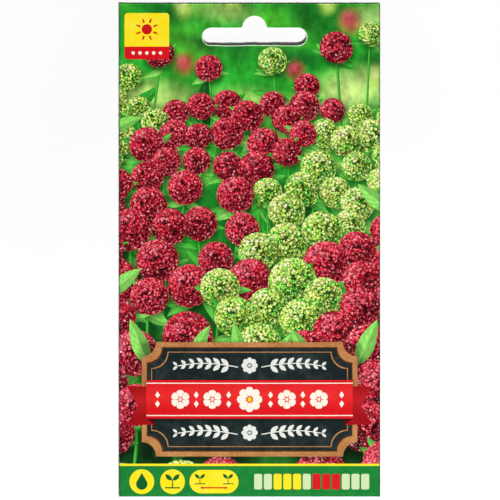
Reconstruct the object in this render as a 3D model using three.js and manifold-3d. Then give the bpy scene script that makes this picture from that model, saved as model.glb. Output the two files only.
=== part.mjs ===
// Flat paper seed packet with a euro hang slot in its header, lying on its back.
// Millimetres, +Z up. The printed front faces +Z and the header points to +Y.
// Origin: centre of the footprint, on the surface that the packet lies on.
import * as THREE from 'three';
import { mergeVertices } from 'three/addons/utils/BufferGeometryUtils.js';
import Module from 'manifold-3d';

// ---------------------------------------------------------------- dimensions
const WIDTH = 80;              // left fold to right fold
const HEIGHT = 151;            // bottom fold to top fold
const PAPER = 0.12;            // coated paper, about 115 g/m2
const GLUE = 0.03;             // dried adhesive film
const SLIP = 0.005;            // clearance between faces that lie on each other

// stack of layers, lower faces, from the resting surface up
const Z_FLAPS = 0;             // top and bottom flap
const Z_BACK = 0.16;           // back panel
const Z_SIDE = 0.32;           // side flap, tucked in between back and front
const Z_FRONT = 0.48;          // front panel at its edges
const Z_TOP = Z_FRONT + PAPER; // front face at the folds and in the header

// pillow of the front panel over the filled pocket
const PILLOW_RISE = 1.35;
const POCKET_HALF_W = 38.6;
const POCKET_Y0 = -74.0;
const POCKET_Y1 = 52.0;
const PILLOW_POWER = 1.35;

// euro hang slot: a bar with round ends and a round hump above its middle
const SLOT_X = 1.5;            // punched a little right of the centre line
const SLOT_BAR_Y0 = 62.6;
const SLOT_BAR_Y1 = 68.0;
const SLOT_WIDTH = 32;
const SLOT_HUMP_R = 3.62;
const SLOT_FILLET = 0.8;

// flaps
const TOP_FLAP_H = 22;
const TOP_FLAP_HALF_W = 39.4;
const BOTTOM_FLAP_H = 14;
const BOTTOM_FLAP_HALF_W = 39.4;
const FLAP_TAPER = 2.4;
const SIDE_FLAP_W = 12;
const SIDE_FLAP_TAPER = 5;
const BACK_CUT_EDGE_X = -39.55; // raw edge of the back panel, just inside the left fold

// inner sachet, heat-sealed from two webs of glassine
const WEB = 0.04;
const SACHET_X0 = -26, SACHET_X1 = 30;
const SACHET_Y0 = -66, SACHET_Y1 = 20;
const SACHET_SEAL = 5;
const SACHET_RISE = 1.12;

// seed, gathered in the lower half of the sachet
const HEAP_X = 2, HEAP_Y = -34;
const HEAP_RX = 19.5, HEAP_RY = 21.5;
const HEAP_RISE = 0.86;

// ---------------------------------------------------------------- helpers
const wasm = await Module();
wasm.setup();

function toSolid(geometry) {
  const g = geometry.index ? geometry.toNonIndexed() : geometry.clone();
  for (const key of Object.keys(g.attributes)) if (key !== 'position') g.deleteAttribute(key);
  const merged = mergeVertices(g, 1e-5);
  return new wasm.Manifold(new wasm.Mesh({
    numProp: 3,
    vertProperties: new Float32Array(merged.attributes.position.array),
    triVerts: new Uint32Array(merged.index.array),
  }));
}

function toGeometry(solid) {
  const mesh = solid.getMesh();
  const g = new THREE.BufferGeometry();
  g.setAttribute('position', new THREE.BufferAttribute(new Float32Array(mesh.vertProperties), 3));
  g.setIndex(new THREE.BufferAttribute(new Uint32Array(mesh.triVerts), 1));
  g.computeVertexNormals();
  return g;
}

function block(x0, x1, y0, y1, z0, z1) {
  const g = new THREE.BoxGeometry(x1 - x0, y1 - y0, z1 - z0);
  g.translate((x0 + x1) / 2, (y0 + y1) / 2, (z0 + z1) / 2);
  return toSolid(g);
}

function plate(points, z0, z1, curveSegments = 10) {
  const shape = points instanceof THREE.Shape ? points
    : new THREE.Shape(points.map(([x, y]) => new THREE.Vector2(x, y)));
  const g = new THREE.ExtrudeGeometry(shape, { depth: z1 - z0, bevelEnabled: false, curveSegments });
  g.translate(0, 0, z0);
  return g;
}

// closed body between two height functions over a grid
function sheet(xs, ys, upper, lower) {
  const nx = xs.length, ny = ys.length;
  const position = [];
  for (const z of [upper, lower]) {
    for (let j = 0; j < ny; j++) for (let i = 0; i < nx; i++) position.push(xs[i], ys[j], z(xs[i], ys[j]));
  }
  const at = (layer, i, j) => layer * nx * ny + j * nx + i;
  const index = [];
  const quad = (a, b, c, d) => index.push(a, b, c, a, c, d);
  for (let j = 0; j < ny - 1; j++) {
    for (let i = 0; i < nx - 1; i++) {
      quad(at(0, i, j), at(0, i + 1, j), at(0, i + 1, j + 1), at(0, i, j + 1));
      quad(at(1, i, j), at(1, i, j + 1), at(1, i + 1, j + 1), at(1, i + 1, j));
    }
  }
  for (let i = 0; i < nx - 1; i++) {
    quad(at(1, i, 0), at(1, i + 1, 0), at(0, i + 1, 0), at(0, i, 0));
    quad(at(1, i + 1, ny - 1), at(1, i, ny - 1), at(0, i, ny - 1), at(0, i + 1, ny - 1));
  }
  for (let j = 0; j < ny - 1; j++) {
    quad(at(1, 0, j + 1), at(1, 0, j), at(0, 0, j), at(0, 0, j + 1));
    quad(at(1, nx - 1, j), at(1, nx - 1, j + 1), at(0, nx - 1, j + 1), at(0, nx - 1, j));
  }
  const g = new THREE.BufferGeometry();
  g.setAttribute('position', new THREE.Float32BufferAttribute(position, 3));
  g.setIndex(index);
  return g;
}

function steps(a, b, n, ease = (t) => t) {
  return Array.from({ length: n + 1 }, (_, i) => a + (b - a) * ease(i / n));
}

// ---------------------------------------------------------------- shapes
const dome = (u, v, power) => {
  const a = 1 - u * u, b = 1 - v * v;
  return a > 0 && b > 0 ? Math.pow(a, power) * Math.pow(b, power) : 0;
};

const pocketY = (POCKET_Y0 + POCKET_Y1) / 2;
const pocketHalfH = (POCKET_Y1 - POCKET_Y0) / 2;
function frontTop(x, y) {
  return Z_TOP + PILLOW_RISE * dome(x / POCKET_HALF_W, (y - pocketY) / pocketHalfH, PILLOW_POWER);
}

const sachetX = (SACHET_X0 + SACHET_X1) / 2;
const sachetY = (SACHET_Y0 + SACHET_Y1) / 2;
function sachetTop(x, y) {
  const hw = (SACHET_X1 - SACHET_X0) / 2 - SACHET_SEAL;
  const hh = (SACHET_Y1 - SACHET_Y0) / 2 - SACHET_SEAL;
  return Z_BACK + PAPER + SLIP + WEB + SLIP + WEB
    + SACHET_RISE * dome((x - sachetX) / hw, (y - sachetY) / hh, 0.9) * (1 - 0.25 * (y - sachetY) / hh) / 1.1;
}

// outline of the punched hang slot
function slotShape() {
  const r = (SLOT_BAR_Y1 - SLOT_BAR_Y0) / 2;
  const yc = (SLOT_BAR_Y0 + SLOT_BAR_Y1) / 2;
  const half = SLOT_WIDTH / 2 - r;
  const R = SLOT_HUMP_R, f = SLOT_FILLET;
  // the hump is a half circle on the bar's upper edge, with a small fillet on each side
  const fx = Math.sqrt((R + f) * (R + f) - f * f);
  const a = Math.atan2(f, fx);
  const s = new THREE.Shape();
  s.moveTo(SLOT_X - half, SLOT_BAR_Y0);
  s.lineTo(SLOT_X + half, SLOT_BAR_Y0);
  s.absarc(SLOT_X + half, yc, r, -Math.PI / 2, Math.PI / 2, false);
  s.lineTo(SLOT_X + fx, SLOT_BAR_Y1);
  s.absarc(SLOT_X + fx, SLOT_BAR_Y1 + f, f, -Math.PI / 2, -Math.PI + a, true);
  s.absarc(SLOT_X, SLOT_BAR_Y1, R, a, Math.PI - a, false);
  s.absarc(SLOT_X - fx, SLOT_BAR_Y1 + f, f, -a, -Math.PI / 2, true);
  s.lineTo(SLOT_X - half, SLOT_BAR_Y1);
  s.absarc(SLOT_X - half, yc, r, Math.PI / 2, Math.PI * 1.5, false);
  return s;
}
const slot = toSolid(plate(slotShape(), -2, 4, 12));

// ---------------------------------------------------------------- pieces
const hw = WIDTH / 2, hh = HEIGHT / 2;
const packet = new THREE.Group();
packet.name = 'seed_packet';

function addPiece(name, geometry, color, roughness) {
  geometry.computeVertexNormals();
  const mesh = new THREE.Mesh(geometry, new THREE.MeshStandardMaterial({ color, roughness, metalness: 0 }));
  mesh.name = name;
  packet.add(mesh);
}

// Front panel: printed face with the four folded edges that turn down around the stack.
{
  const ease = (t) => 0.5 - 0.5 * Math.cos(Math.PI * t);
  const xs = steps(-POCKET_HALF_W, POCKET_HALF_W, 14);
  const ys = steps(POCKET_Y0, POCKET_Y1, 22, (t) => 0.35 * ease(t) + 0.65 * t);
  const outerXs = [-hw, ...xs, hw], outerYs = [-hh, ...ys, hh];
  const innerXs = [-hw + PAPER, ...xs, hw - PAPER], innerYs = [-hh + PAPER, ...ys, hh - PAPER];
  const floor = Z_FLAPS + PAPER + SLIP;
  let body = toSolid(sheet(outerXs, outerYs, frontTop, () => floor))
    .subtract(toSolid(sheet(innerXs, innerYs, (x, y) => frontTop(x, y) - PAPER, () => -1)));
  // right fold joins the back panel, left fold joins the side flap
  body = body.subtract(block(hw - PAPER - 0.5, hw + 1, -hh + PAPER, hh - PAPER, -1, Z_BACK));
  body = body.subtract(block(-hw - 1, -hw + PAPER + 0.5, -hh + PAPER, hh - PAPER, -1, Z_SIDE));
  // corners are nipped where the end flaps turn under
  for (const sx of [-1, 1]) {
    for (const sy of [-1, 1]) {
      const x0 = sx > 0 ? TOP_FLAP_HALF_W : -hw - 1, x1 = sx > 0 ? hw + 1 : -TOP_FLAP_HALF_W;
      const y0 = sy > 0 ? hh - PAPER - 0.01 : -hh - 1, y1 = sy > 0 ? hh + 1 : -hh + PAPER + 0.01;
      body = body.subtract(block(x0, x1, y0, y1, -1, Z_BACK));
    }
  }
  body = body.subtract(slot);
  addPiece('front_panel', toGeometry(body), 0x6f8f3c, 0.42);
}

// Back panel: flat, its right edge ends at the right fold, its left edge is a raw cut.
{
  const x1 = hw - PAPER - SLIP;
  const body = block(BACK_CUT_EDGE_X, x1, -hh + PAPER + SLIP, hh - PAPER - SLIP, Z_BACK, Z_BACK + PAPER).subtract(slot);
  addPiece('back_panel', toGeometry(body), 0xdfe6c4, 0.45);
}

// Side flap: turned in at the left fold and tucked between the two panels.
{
  const x0 = -hw + PAPER + SLIP, x1 = -hw + SIDE_FLAP_W;
  const y0 = -hh + 0.6, y1 = hh - 0.6;
  addPiece('side_flap', plate([
    [x0, y0], [x1, y0 + SIDE_FLAP_TAPER], [x1, y1 - SIDE_FLAP_TAPER], [x0, y1],
  ], Z_SIDE, Z_SIDE + PAPER), 0xf4f3ee, 0.8);
}

// Bottom flap: turned under the back at the bottom fold.
{
  const y0 = -hh, y1 = -hh + BOTTOM_FLAP_H, a = BOTTOM_FLAP_HALF_W, b = a - FLAP_TAPER;
  addPiece('bottom_flap', plate([
    [-a, y0], [a, y0], [b, y1], [-b, y1],
  ], Z_FLAPS, Z_FLAPS + PAPER), 0x4f7a34, 0.45);
}

// Top flap: turned under the back at the top fold, doubles the header around the slot.
{
  const y0 = hh - TOP_FLAP_H, y1 = hh, a = TOP_FLAP_HALF_W, b = a - FLAP_TAPER;
  const body = toSolid(plate([
    [-b, y0], [b, y0], [a, y1], [-a, y1],
  ], Z_FLAPS, Z_FLAPS + PAPER)).subtract(slot);
  addPiece('top_flap', toGeometry(body), 0x5f9a3c, 0.45);
}

// Adhesive films of the three glued joints.
{
  const z = Z_BACK + PAPER + SLIP;
  addPiece('side_seam_glue', plate([[-36.5, -69], [-30.5, -69], [-30.5, 69], [-36.5, 69]], z, z + GLUE), 0xe6dfc8, 0.5);
  const zf = Z_FLAPS + PAPER + SLIP;
  addPiece('bottom_flap_glue', plate([[-34, -71.5], [34, -71.5], [34, -64.5], [-34, -64.5]], zf, zf + GLUE), 0xe6dfc8, 0.5);
  addPiece('top_flap_glue', plate([[-34, 55.5], [34, 55.5], [34, 60.5], [-34, 60.5]], zf, zf + GLUE), 0xe6dfc8, 0.5);
}

// Inner sachet: flat back web and a front web that swells over the seed.
{
  const z = Z_BACK + PAPER + SLIP;
  addPiece('sachet_back', plate([
    [SACHET_X0, SACHET_Y0], [SACHET_X1, SACHET_Y0], [SACHET_X1, SACHET_Y1], [SACHET_X0, SACHET_Y1],
  ], z, z + WEB), 0xf1efe6, 0.35);
  const xs = [SACHET_X0, ...steps(SACHET_X0 + SACHET_SEAL, SACHET_X1 - SACHET_SEAL, 10), SACHET_X1];
  const ys = [SACHET_Y0, ...steps(SACHET_Y0 + SACHET_SEAL, SACHET_Y1 - SACHET_SEAL, 14), SACHET_Y1];
  addPiece('sachet_front', sheet(xs, ys, sachetTop, (x, y) => sachetTop(x, y) - WEB), 0xf4f2ea, 0.35);
}

// Seed: one low heap in the lower half of the sachet.
{
  const z = Z_BACK + PAPER + SLIP + WEB + SLIP;
  const rings = 5, seg = 28, profile = [[1, 0.0], [0.9, 0.42], [0.7, 0.74], [0.45, 0.92], [0.2, 0.99]];
  const position = [], index = [];
  for (const [k, h] of profile) {
    for (let s = 0; s < seg; s++) {
      const t = (s / seg) * Math.PI * 2;
      position.push(HEAP_X + HEAP_RX * k * Math.cos(t), HEAP_Y + HEAP_RY * k * Math.sin(t), z + 0.06 + (HEAP_RISE - 0.06) * h);
    }
  }
  for (let s = 0; s < seg; s++) {
    const t = (s / seg) * Math.PI * 2;
    position.push(HEAP_X + HEAP_RX * Math.cos(t), HEAP_Y + HEAP_RY * Math.sin(t), z);
  }
  const apex = position.length / 3;
  position.push(HEAP_X, HEAP_Y, z + HEAP_RISE);
  const foot = position.length / 3;
  position.push(HEAP_X, HEAP_Y, z);
  for (let r = 0; r < rings - 1; r++) {
    for (let s = 0; s < seg; s++) {
      const a = r * seg + s, b = r * seg + (s + 1) % seg, c = (r + 1) * seg + (s + 1) % seg, d = (r + 1) * seg + s;
      index.push(a, b, c, a, c, d);
    }
  }
  for (let s = 0; s < seg; s++) {
    const n = (s + 1) % seg;
    index.push((rings - 1) * seg + s, (rings - 1) * seg + n, apex);
    index.push(rings * seg + s, rings * seg + n, n, rings * seg + s, n, s);
    index.push(rings * seg + n, rings * seg + s, foot);
  }
  const g = new THREE.BufferGeometry();
  g.setAttribute('position', new THREE.Float32BufferAttribute(position, 3));
  g.setIndex(index);
  addPiece('seed_heap', g, 0x2b1a17, 0.45);
}

export default packet;
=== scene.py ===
import math
import random

import bpy
import numpy as np
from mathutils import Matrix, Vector
from mathutils.bvhtree import BVHTree
from mathutils.geometry import delaunay_2d_cdt


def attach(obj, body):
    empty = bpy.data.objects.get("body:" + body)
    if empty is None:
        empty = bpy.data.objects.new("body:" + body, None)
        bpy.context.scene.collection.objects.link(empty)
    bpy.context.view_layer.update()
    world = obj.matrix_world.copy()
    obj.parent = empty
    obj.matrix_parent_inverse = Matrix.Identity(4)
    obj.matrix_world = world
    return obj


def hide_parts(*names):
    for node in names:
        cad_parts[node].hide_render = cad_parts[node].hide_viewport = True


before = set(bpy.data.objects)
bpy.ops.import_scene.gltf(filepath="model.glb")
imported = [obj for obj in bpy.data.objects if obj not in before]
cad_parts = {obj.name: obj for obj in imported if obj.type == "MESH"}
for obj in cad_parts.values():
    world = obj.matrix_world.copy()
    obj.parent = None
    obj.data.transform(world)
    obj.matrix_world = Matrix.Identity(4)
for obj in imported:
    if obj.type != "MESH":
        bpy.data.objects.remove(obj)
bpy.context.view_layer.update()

MM = 0.001

# ------------------------------------------------------------------ camera
# Straight down on the printed front; 1 px of the 500 px frame is 0.3062 mm there.
LENS, SENSOR = 200.0, 36.0
SPAN = 500 * 0.3062 * MM
cam_data = bpy.data.cameras.new("camera")
cam_data.lens = LENS
cam_data.sensor_width = SENSOR
cam_data.clip_start = 0.01
cam_data.clip_end = 20.0
cam = bpy.data.objects.new("camera", cam_data)
bpy.context.scene.collection.objects.link(cam)
cam.location = (0.13 * MM, 0.02 * MM, 0.0006 + SPAN / 2 / (SENSOR / 2 / LENS))
bpy.context.scene.camera = cam

# ------------------------------------------------------------------ sizes, mm
HW, HH = 40.0, 75.5
PAPER = 0.12
Z_TOP = 0.60
FOLD_R = 0.15
POCKET_HALF_W, POCKET_Y0, POCKET_Y1 = 38.6, -74.0, 52.0
PILLOW = 1.35
SLOT_X, SLOT_Y0, SLOT_Y1, SLOT_W = 1.5, 62.6, 68.0, 32.0
HUMP_R, HUMP_F = 3.62, 0.8


def srgb(r, g, b):
    return tuple(((c / 255) / 12.92 if c / 255 <= 0.04045 else ((c / 255 + 0.055) / 1.055) ** 2.4) for c in (r, g, b))


def arr(c):
    return np.array(c, float)


def smooth(a, b, x):
    t = np.clip((np.asarray(x, float) - a) / (b - a), 0, 1)
    return t * t * (3 - 2 * t)


# ------------------------------------------------------------------ node helper
class Mat:
    """Small builder for a node material around one Principled shader."""

    def __init__(self, name, roughness=0.45, specular=0.12, coat=0.0, coat_roughness=0.2):
        self.m = bpy.data.materials.new(name)
        self.m.use_nodes = True
        t = self.t = self.m.node_tree
        t.nodes.clear()
        self.out = t.nodes.new("ShaderNodeOutputMaterial")
        self.p = t.nodes.new("ShaderNodeBsdfPrincipled")
        t.links.new(self.p.outputs[0], self.out.inputs[0])
        self.p.inputs["Roughness"].default_value = roughness
        self.p.inputs["Specular IOR Level"].default_value = specular
        if coat:
            self.p.inputs["Coat Weight"].default_value = coat
            self.p.inputs["Coat Roughness"].default_value = coat_roughness

    def put(self, node, i, v):
        s = node.inputs[i]
        if isinstance(v, bpy.types.NodeSocket):
            self.t.links.new(v, s)
        elif isinstance(v, (tuple, list, np.ndarray)):
            v = tuple(float(x) for x in v)
            s.default_value = v + (1.0,) if len(v) == 3 and s.type == "RGBA" else v
        else:
            s.default_value = float(v)

    def attr(self, name, out="Color"):
        n = self.t.nodes.new("ShaderNodeAttribute")
        n.attribute_name = name
        return n.outputs[out]

    def position(self):
        n = self.t.nodes.new("ShaderNodeTexCoord")
        return self.mapping(n.outputs["Object"], (1000, 1000, 1000))

    def mapping(self, v, scale=(1, 1, 1), location=(0, 0, 0), rotation=(0, 0, 0)):
        n = self.t.nodes.new("ShaderNodeMapping")
        self.put(n, "Vector", v)
        n.inputs["Location"].default_value = location
        n.inputs["Rotation"].default_value = rotation
        n.inputs["Scale"].default_value = scale
        return n.outputs[0]

    def math(self, op, a, b=None, c=None, clamp=False):
        n = self.t.nodes.new("ShaderNodeMath")
        n.operation = op
        n.use_clamp = clamp
        for i, v in enumerate((a, b, c)):
            if v is not None:
                self.put(n, i, v)
        return n.outputs[0]

    def add(self, a, b): return self.math("ADD", a, b)
    def sub(self, a, b): return self.math("SUBTRACT", a, b)
    def mul(self, a, b): return self.math("MULTIPLY", a, b)

    def sep(self, v):
        n = self.t.nodes.new("ShaderNodeSeparateXYZ")
        self.put(n, 0, v)
        return n.outputs[0], n.outputs[1], n.outputs[2]

    def comb(self, x, y, z):
        n = self.t.nodes.new("ShaderNodeCombineXYZ")
        for i, v in enumerate((x, y, z)):
            self.put(n, i, v)
        return n.outputs[0]

    def mix(self, f, a, b, blend="MIX"):
        n = self.t.nodes.new("ShaderNodeMix")
        n.data_type = "RGBA"
        n.blend_type = blend
        n.clamp_factor = True
        self.put(n, 0, f)
        for key, v in (("A_Color", a), ("B_Color", b)):
            s = next(x for x in n.inputs if x.identifier == key)
            if isinstance(v, bpy.types.NodeSocket):
                self.t.links.new(v, s)
            else:
                s.default_value = tuple(v) + (1.0,) if len(v) == 3 else tuple(v)
        return next(x for x in n.outputs if x.identifier == "Result_Color")

    def scale(self, color, f):
        """color times a number socket or value"""
        return self.mix(1.0, color, self.comb(f, f, f), "MULTIPLY")

    def range(self, v, a, b, c=0.0, d=1.0, kind="SMOOTHSTEP"):
        n = self.t.nodes.new("ShaderNodeMapRange")
        n.interpolation_type = kind
        n.clamp = True
        for i, x in enumerate((v, a, b, c, d)):
            self.put(n, i, x)
        return n.outputs[0]

    def noise(self, v, scale, detail=2.0, rough=0.5, dist=0.0, out=0):
        n = self.t.nodes.new("ShaderNodeTexNoise")
        self.put(n, "Vector", v)
        n.inputs["Scale"].default_value = scale
        n.inputs["Detail"].default_value = detail
        n.inputs["Roughness"].default_value = rough
        n.inputs["Distortion"].default_value = dist
        return n.outputs[out]

    def voronoi(self, v, scale, feature="F1", rnd=1.0, out="Distance"):
        n = self.t.nodes.new("ShaderNodeTexVoronoi")
        n.feature = feature
        self.put(n, "Vector", v)
        n.inputs["Scale"].default_value = scale
        n.inputs["Randomness"].default_value = rnd
        return n.outputs[out]

    def ramp(self, f, stops):
        n = self.t.nodes.new("ShaderNodeValToRGB")
        e = n.color_ramp.elements
        while len(e) < len(stops):
            e.new(0.5)
        for el, (pos, col) in zip(e, stops):
            el.position = pos
            el.color = tuple(col) + (1.0,)
        self.put(n, 0, f)
        return n.outputs[0]

    def bump(self, height, strength, distance):
        n = self.t.nodes.new("ShaderNodeBump")
        n.inputs["Strength"].default_value = strength
        n.inputs["Distance"].default_value = distance
        self.put(n, "Height", height)
        self.t.links.new(n.outputs[0], self.p.inputs["Normal"])

    def color(self, v):
        self.put(self.p, "Base Color", v)

    def rough(self, v):
        self.put(self.p, "Roughness", v)


def print_finish(m, color, grain=0.05):
    """Printed and varnished paper: fine ink grain, painted shade and light along the folds, fibre bump and a slightly
    uneven sheen.
    """
    pos = m.position()
    g = m.noise(pos, 5.2, 2.0, 0.7)
    g2 = m.noise(pos, 0.13, 3.0, 0.6)
    f = m.add(m.range(g, 0.25, 0.75, 1 - grain, 1 + grain, "LINEAR"), m.mul(m.sub(g2, 0.5), 0.05))
    # painted shade: the ink is darkened along the side folds to stand for the shade on the rolled fold; painted light
    # makes it a little paler along the top fold, and it is a little darker along the bottom one
    x, y, _ = m.sep(pos)
    side = m.mul(m.range(m.math("ABSOLUTE", x), 39.50, 39.70), m.range(m.noise(pos, 0.22, 2.0, 0.6), 0.3, 0.7, 0.46, 0.66, "LINEAR"))
    top_painted_light_bottom_darker = m.sub(m.mul(m.range(y, 74.95, 75.15), 0.34), m.mul(m.range(y, -75.10, -75.30), 0.24))
    f = m.mul(f, m.mul(m.sub(1.0, side), m.add(1.0, top_painted_light_bottom_darker)))
    m.color(m.scale(color, f))
    fibre = m.noise(m.mapping(pos, (1, 1, 1)), 2.4, 4.0, 0.65)
    m.bump(fibre, 0.10, 0.00004)
    m.rough(m.range(m.noise(pos, 0.35, 3.0, 0.6), 0.3, 0.7, 0.32, 0.43, "LINEAR"))


# ------------------------------------------------------------------ print motifs
C_BG, C_PETAL, C_LEAF, C_STEM, C_CORE, C_SLATE, C_KRAFT, C_RED, C_CHALK, C_YEL, C_BAND, C_ICON, C_LIP, C_PALE = range(14)


def dense(poly, step=2.0):
    """same outline with its long sides cut into short ones"""
    out = []
    for i, p in enumerate(poly):
        q = poly[(i + 1) % len(poly)]
        k = max(1, math.ceil(math.hypot(q[0] - p[0], q[1] - p[1]) / step))
        out += [(p[0] + (q[0] - p[0]) * j / k, p[1] + (q[1] - p[1]) * j / k) for j in range(k)]
    return out


class Motif:
    """One printed shape: an outline in mm, the local coordinates its ink follows, and its colours."""

    def __init__(self, poly, kind, loc, tone, hi=None, order=0.0, rnd=0.0, tonef=None):
        self.poly = np.asarray(dense(poly), float)
        self.kind, self.loc, self.order, self.rnd, self.tonef = kind, loc, order, rnd, tonef
        self.tone = arr(tone)
        self.hi = arr(hi) if hi is not None else self.tone

    def mirrored(self):
        k = np.array([-1.0, 1.0])
        old, oldf = self.loc, self.tonef
        return Motif(self.poly * k, self.kind, lambda p: old(p * k), self.tone, self.hi, self.order, self.rnd, (lambda p: oldf(p * k)) if oldf else None)


def flat_loc(x0, y0, sx=1.0, sy=1.0, angle=0.0):
    c, s = math.cos(angle), math.sin(angle)

    def f(p):
        d = p - np.array([x0, y0])
        return np.stack([(d[:, 0] * c + d[:, 1] * s) / sx, (-d[:, 0] * s + d[:, 1] * c) / sy], 1)
    return f


def rounded(x0, y0, x1, y1, r, n=5):
    pts = []
    for cx, cy, a0 in ((x1 - r, y1 - r, 0), (x0 + r, y1 - r, 90), (x0 + r, y0 + r, 180), (x1 - r, y0 + r, 270)):
        for i in range(n + 1):
            a = math.radians(a0 + 90 * i / n)
            pts.append((cx + r * math.cos(a), cy + r * math.sin(a)))
    return pts


def notched(x0, y0, x1, y1, r, n=7):
    """rectangle whose corners are scooped out by quarter circles"""
    pts = []
    for cx, cy, a0 in ((x1, y1, 270), (x0, y1, 0), (x0, y0, 90), (x1, y0, 180)):
        for i in range(n + 1):
            a = math.radians(a0 - 90 * i / n)
            pts.append((cx + r * math.cos(a), cy + r * math.sin(a)))
    return pts


def circle(cx, cy, r, n=24, a0=0.0):
    return [(cx + r * math.cos(a0 + 2 * math.pi * i / n), cy + r * math.sin(a0 + 2 * math.pi * i / n)) for i in range(n)]


CRIMSON = (arr(srgb(58, 2, 13)), arr(srgb(213, 21, 50)), arr(srgb(244, 110, 124)))
ROSE = (arr(srgb(72, 3, 19)), arr(srgb(228, 32, 62)), arr(srgb(250, 136, 148)))
MAROON = (arr(srgb(38, 3, 11)), arr(srgb(160, 15, 38)), arr(srgb(208, 70, 88)))
LIME = (arr(srgb(36, 84, 12)), arr(srgb(181, 231, 72)), arr(srgb(240, 255, 170)))
PALE = (arr(srgb(62, 116, 28)), arr(srgb(210, 245, 112)), arr(srgb(248, 255, 206)))
LEAFY = (arr(srgb(8, 64, 20)), arr(srgb(38, 160, 42)), arr(srgb(130, 222, 98)))
FRESH = (arr(srgb(16, 84, 26)), arr(srgb(72, 190, 56)), arr(srgb(178, 240, 124)))
STRAW = (arr(srgb(70, 96, 22)), arr(srgb(206, 212, 92)), arr(srgb(250, 248, 186)))
GRASS = (arr(srgb(20, 84, 14)), arr(srgb(110, 210, 54)), arr(srgb(208, 250, 130)))
DEEP = (arr(srgb(3, 24, 10)), arr(srgb(16, 84, 28)), arr(srgb(66, 150, 60)))
SUN = arr([-0.42, 0.62, 0.66]) / np.linalg.norm([-0.42, 0.62, 0.66])


def lit(pal, b):
    """palette colour at brightness b, 0 to 1"""
    b = float(np.clip(b, 0, 1.15))
    lo, mid, hi = pal
    return lo + (mid - lo) * min(b / 0.55, 1) if b < 0.55 else mid + (hi - mid) * ((b - 0.55) / 0.6) * 0.75


def hidden(poly, covers):
    """True if one later shape covers every point of poly"""
    for c in covers:
        if c[0] == "disc":
            if (np.hypot(poly[:, 0] - c[1], poly[:, 1] - c[2]) < c[3]).all():
                return True
        elif ((poly[:, 0] > c[1]) & (poly[:, 0] < c[3]) & (poly[:, 1] > c[2]) & (poly[:, 1] < c[4])).all():
            return True
    return False


def flower_head(cx, cy, R, pals, petals, tilt, order, rng, covers=(), length=1.30, width=0.64, gain=1.0, open_deg=87):
    """Pompon bloom: cupped petals set in a spiral over a dome, outer ones first."""
    rows = []
    golden = math.pi * (3 - math.sqrt(5))
    tx, ty = tilt
    axis = arr([-ty, tx, 0.0])
    ang = math.hypot(tx, ty)
    axis = axis / (np.linalg.norm(axis) + 1e-9)
    K = np.array([[0, -axis[2], axis[1]], [axis[2], 0, -axis[0]], [-axis[1], axis[0], 0]])
    rot = np.eye(3) + math.sin(ang) * K + (1 - math.cos(ang)) * K @ K
    cmax = math.cos(math.radians(open_deg))
    spin = rng.uniform(0, 6.28)
    pal = pals[0]
    for i in range(petals):
        t = ((i + 0.6) / petals) ** 1.10
        th = math.acos(1 - t * (1 - cmax))
        az = i * golden + spin + rng.uniform(-0.07, 0.07)
        s = math.sqrt(2 * math.pi * (1 - cmax) / petals) * (0.66 + 0.46 * math.sin(th) ** 0.8)
        L, W = s * length * rng.uniform(0.9, 1.1), s * width * rng.uniform(0.9, 1.1)
        vs = np.array([0.0, 0.28, 0.55, 0.80, 0.95, 1.05, 0.95, 0.80, 0.55, 0.28, 0.0, 0.5, 0.0, 1.0, 0.5, 0.5])
        us = np.array([0.42, 0.86, 1.0, 0.80, 0.40, 0.0, -0.40, -0.80, -1.0, -0.86, -0.42, 0, 0, 0, 0, 1.0])
        a = th + (vs - 0.45) * L
        c = us * W
        ca, sa = math.cos(az), math.sin(az)
        d = np.stack([np.sin(a) * ca - c * sa, np.sin(a) * sa + c * ca, np.cos(a)], 1) @ rot.T
        d *= (1 + 0.05 * vs)[:, None]
        centre = d[11] / 1.025
        if centre[2] < -0.10:
            continue
        poly = np.array([cx, cy]) + R * d[:11, :2]
        area = 0.5 * np.sum(poly[:, 0] * np.roll(poly[:, 1], -1) - poly[:, 1] * np.roll(poly[:, 0], -1))
        if abs(area) < 0.03 or hidden(poly, covers):
            continue
        J = np.array([(d[13] - d[12])[:2], (d[15] - d[14])[:2]]).T * R
        if abs(np.linalg.det(J)) < 1e-4:
            continue
        Ji = np.linalg.inv(J)
        origin = arr([cx, cy]) + R * d[12, :2]

        def loc(p, Ji=Ji, origin=origin):
            q = (p - origin) @ Ji.T
            return np.stack([np.clip(q[:, 1], -1.6, 1.6), np.clip(q[:, 0], -0.4, 1.5)], 1)

        n = centre / np.linalg.norm(centre)
        out = rot @ arr([ca * math.cos(th), sa * math.cos(th), -math.sin(th)])
        n2 = n * 0.9 + out * 0.32
        n2 /= np.linalg.norm(n2)
        b = (0.07 + 0.74 * max(0.0, float(n2 @ SUN))) * gain * rng.uniform(0.74, 1.26)
        tint = rng.choice(pals)
        b *= 0.62 + 0.38 * min(1.0, (centre[2] + 0.1) / 0.75)
        rows.append((-th, Motif(poly, C_PETAL, loc, lit(tint, b), lit(tint, min(b + 0.55, 1.15)), order, rng.random())))
    rows.sort(key=lambda r: r[0])
    core = Motif(circle(cx, cy, R * 0.93, 20), C_CORE, flat_loc(cx, cy, R, R), pal[0] * 0.8, pal[0], order - 0.01, rng.random())
    return [core] + [m for _, m in rows]


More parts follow.
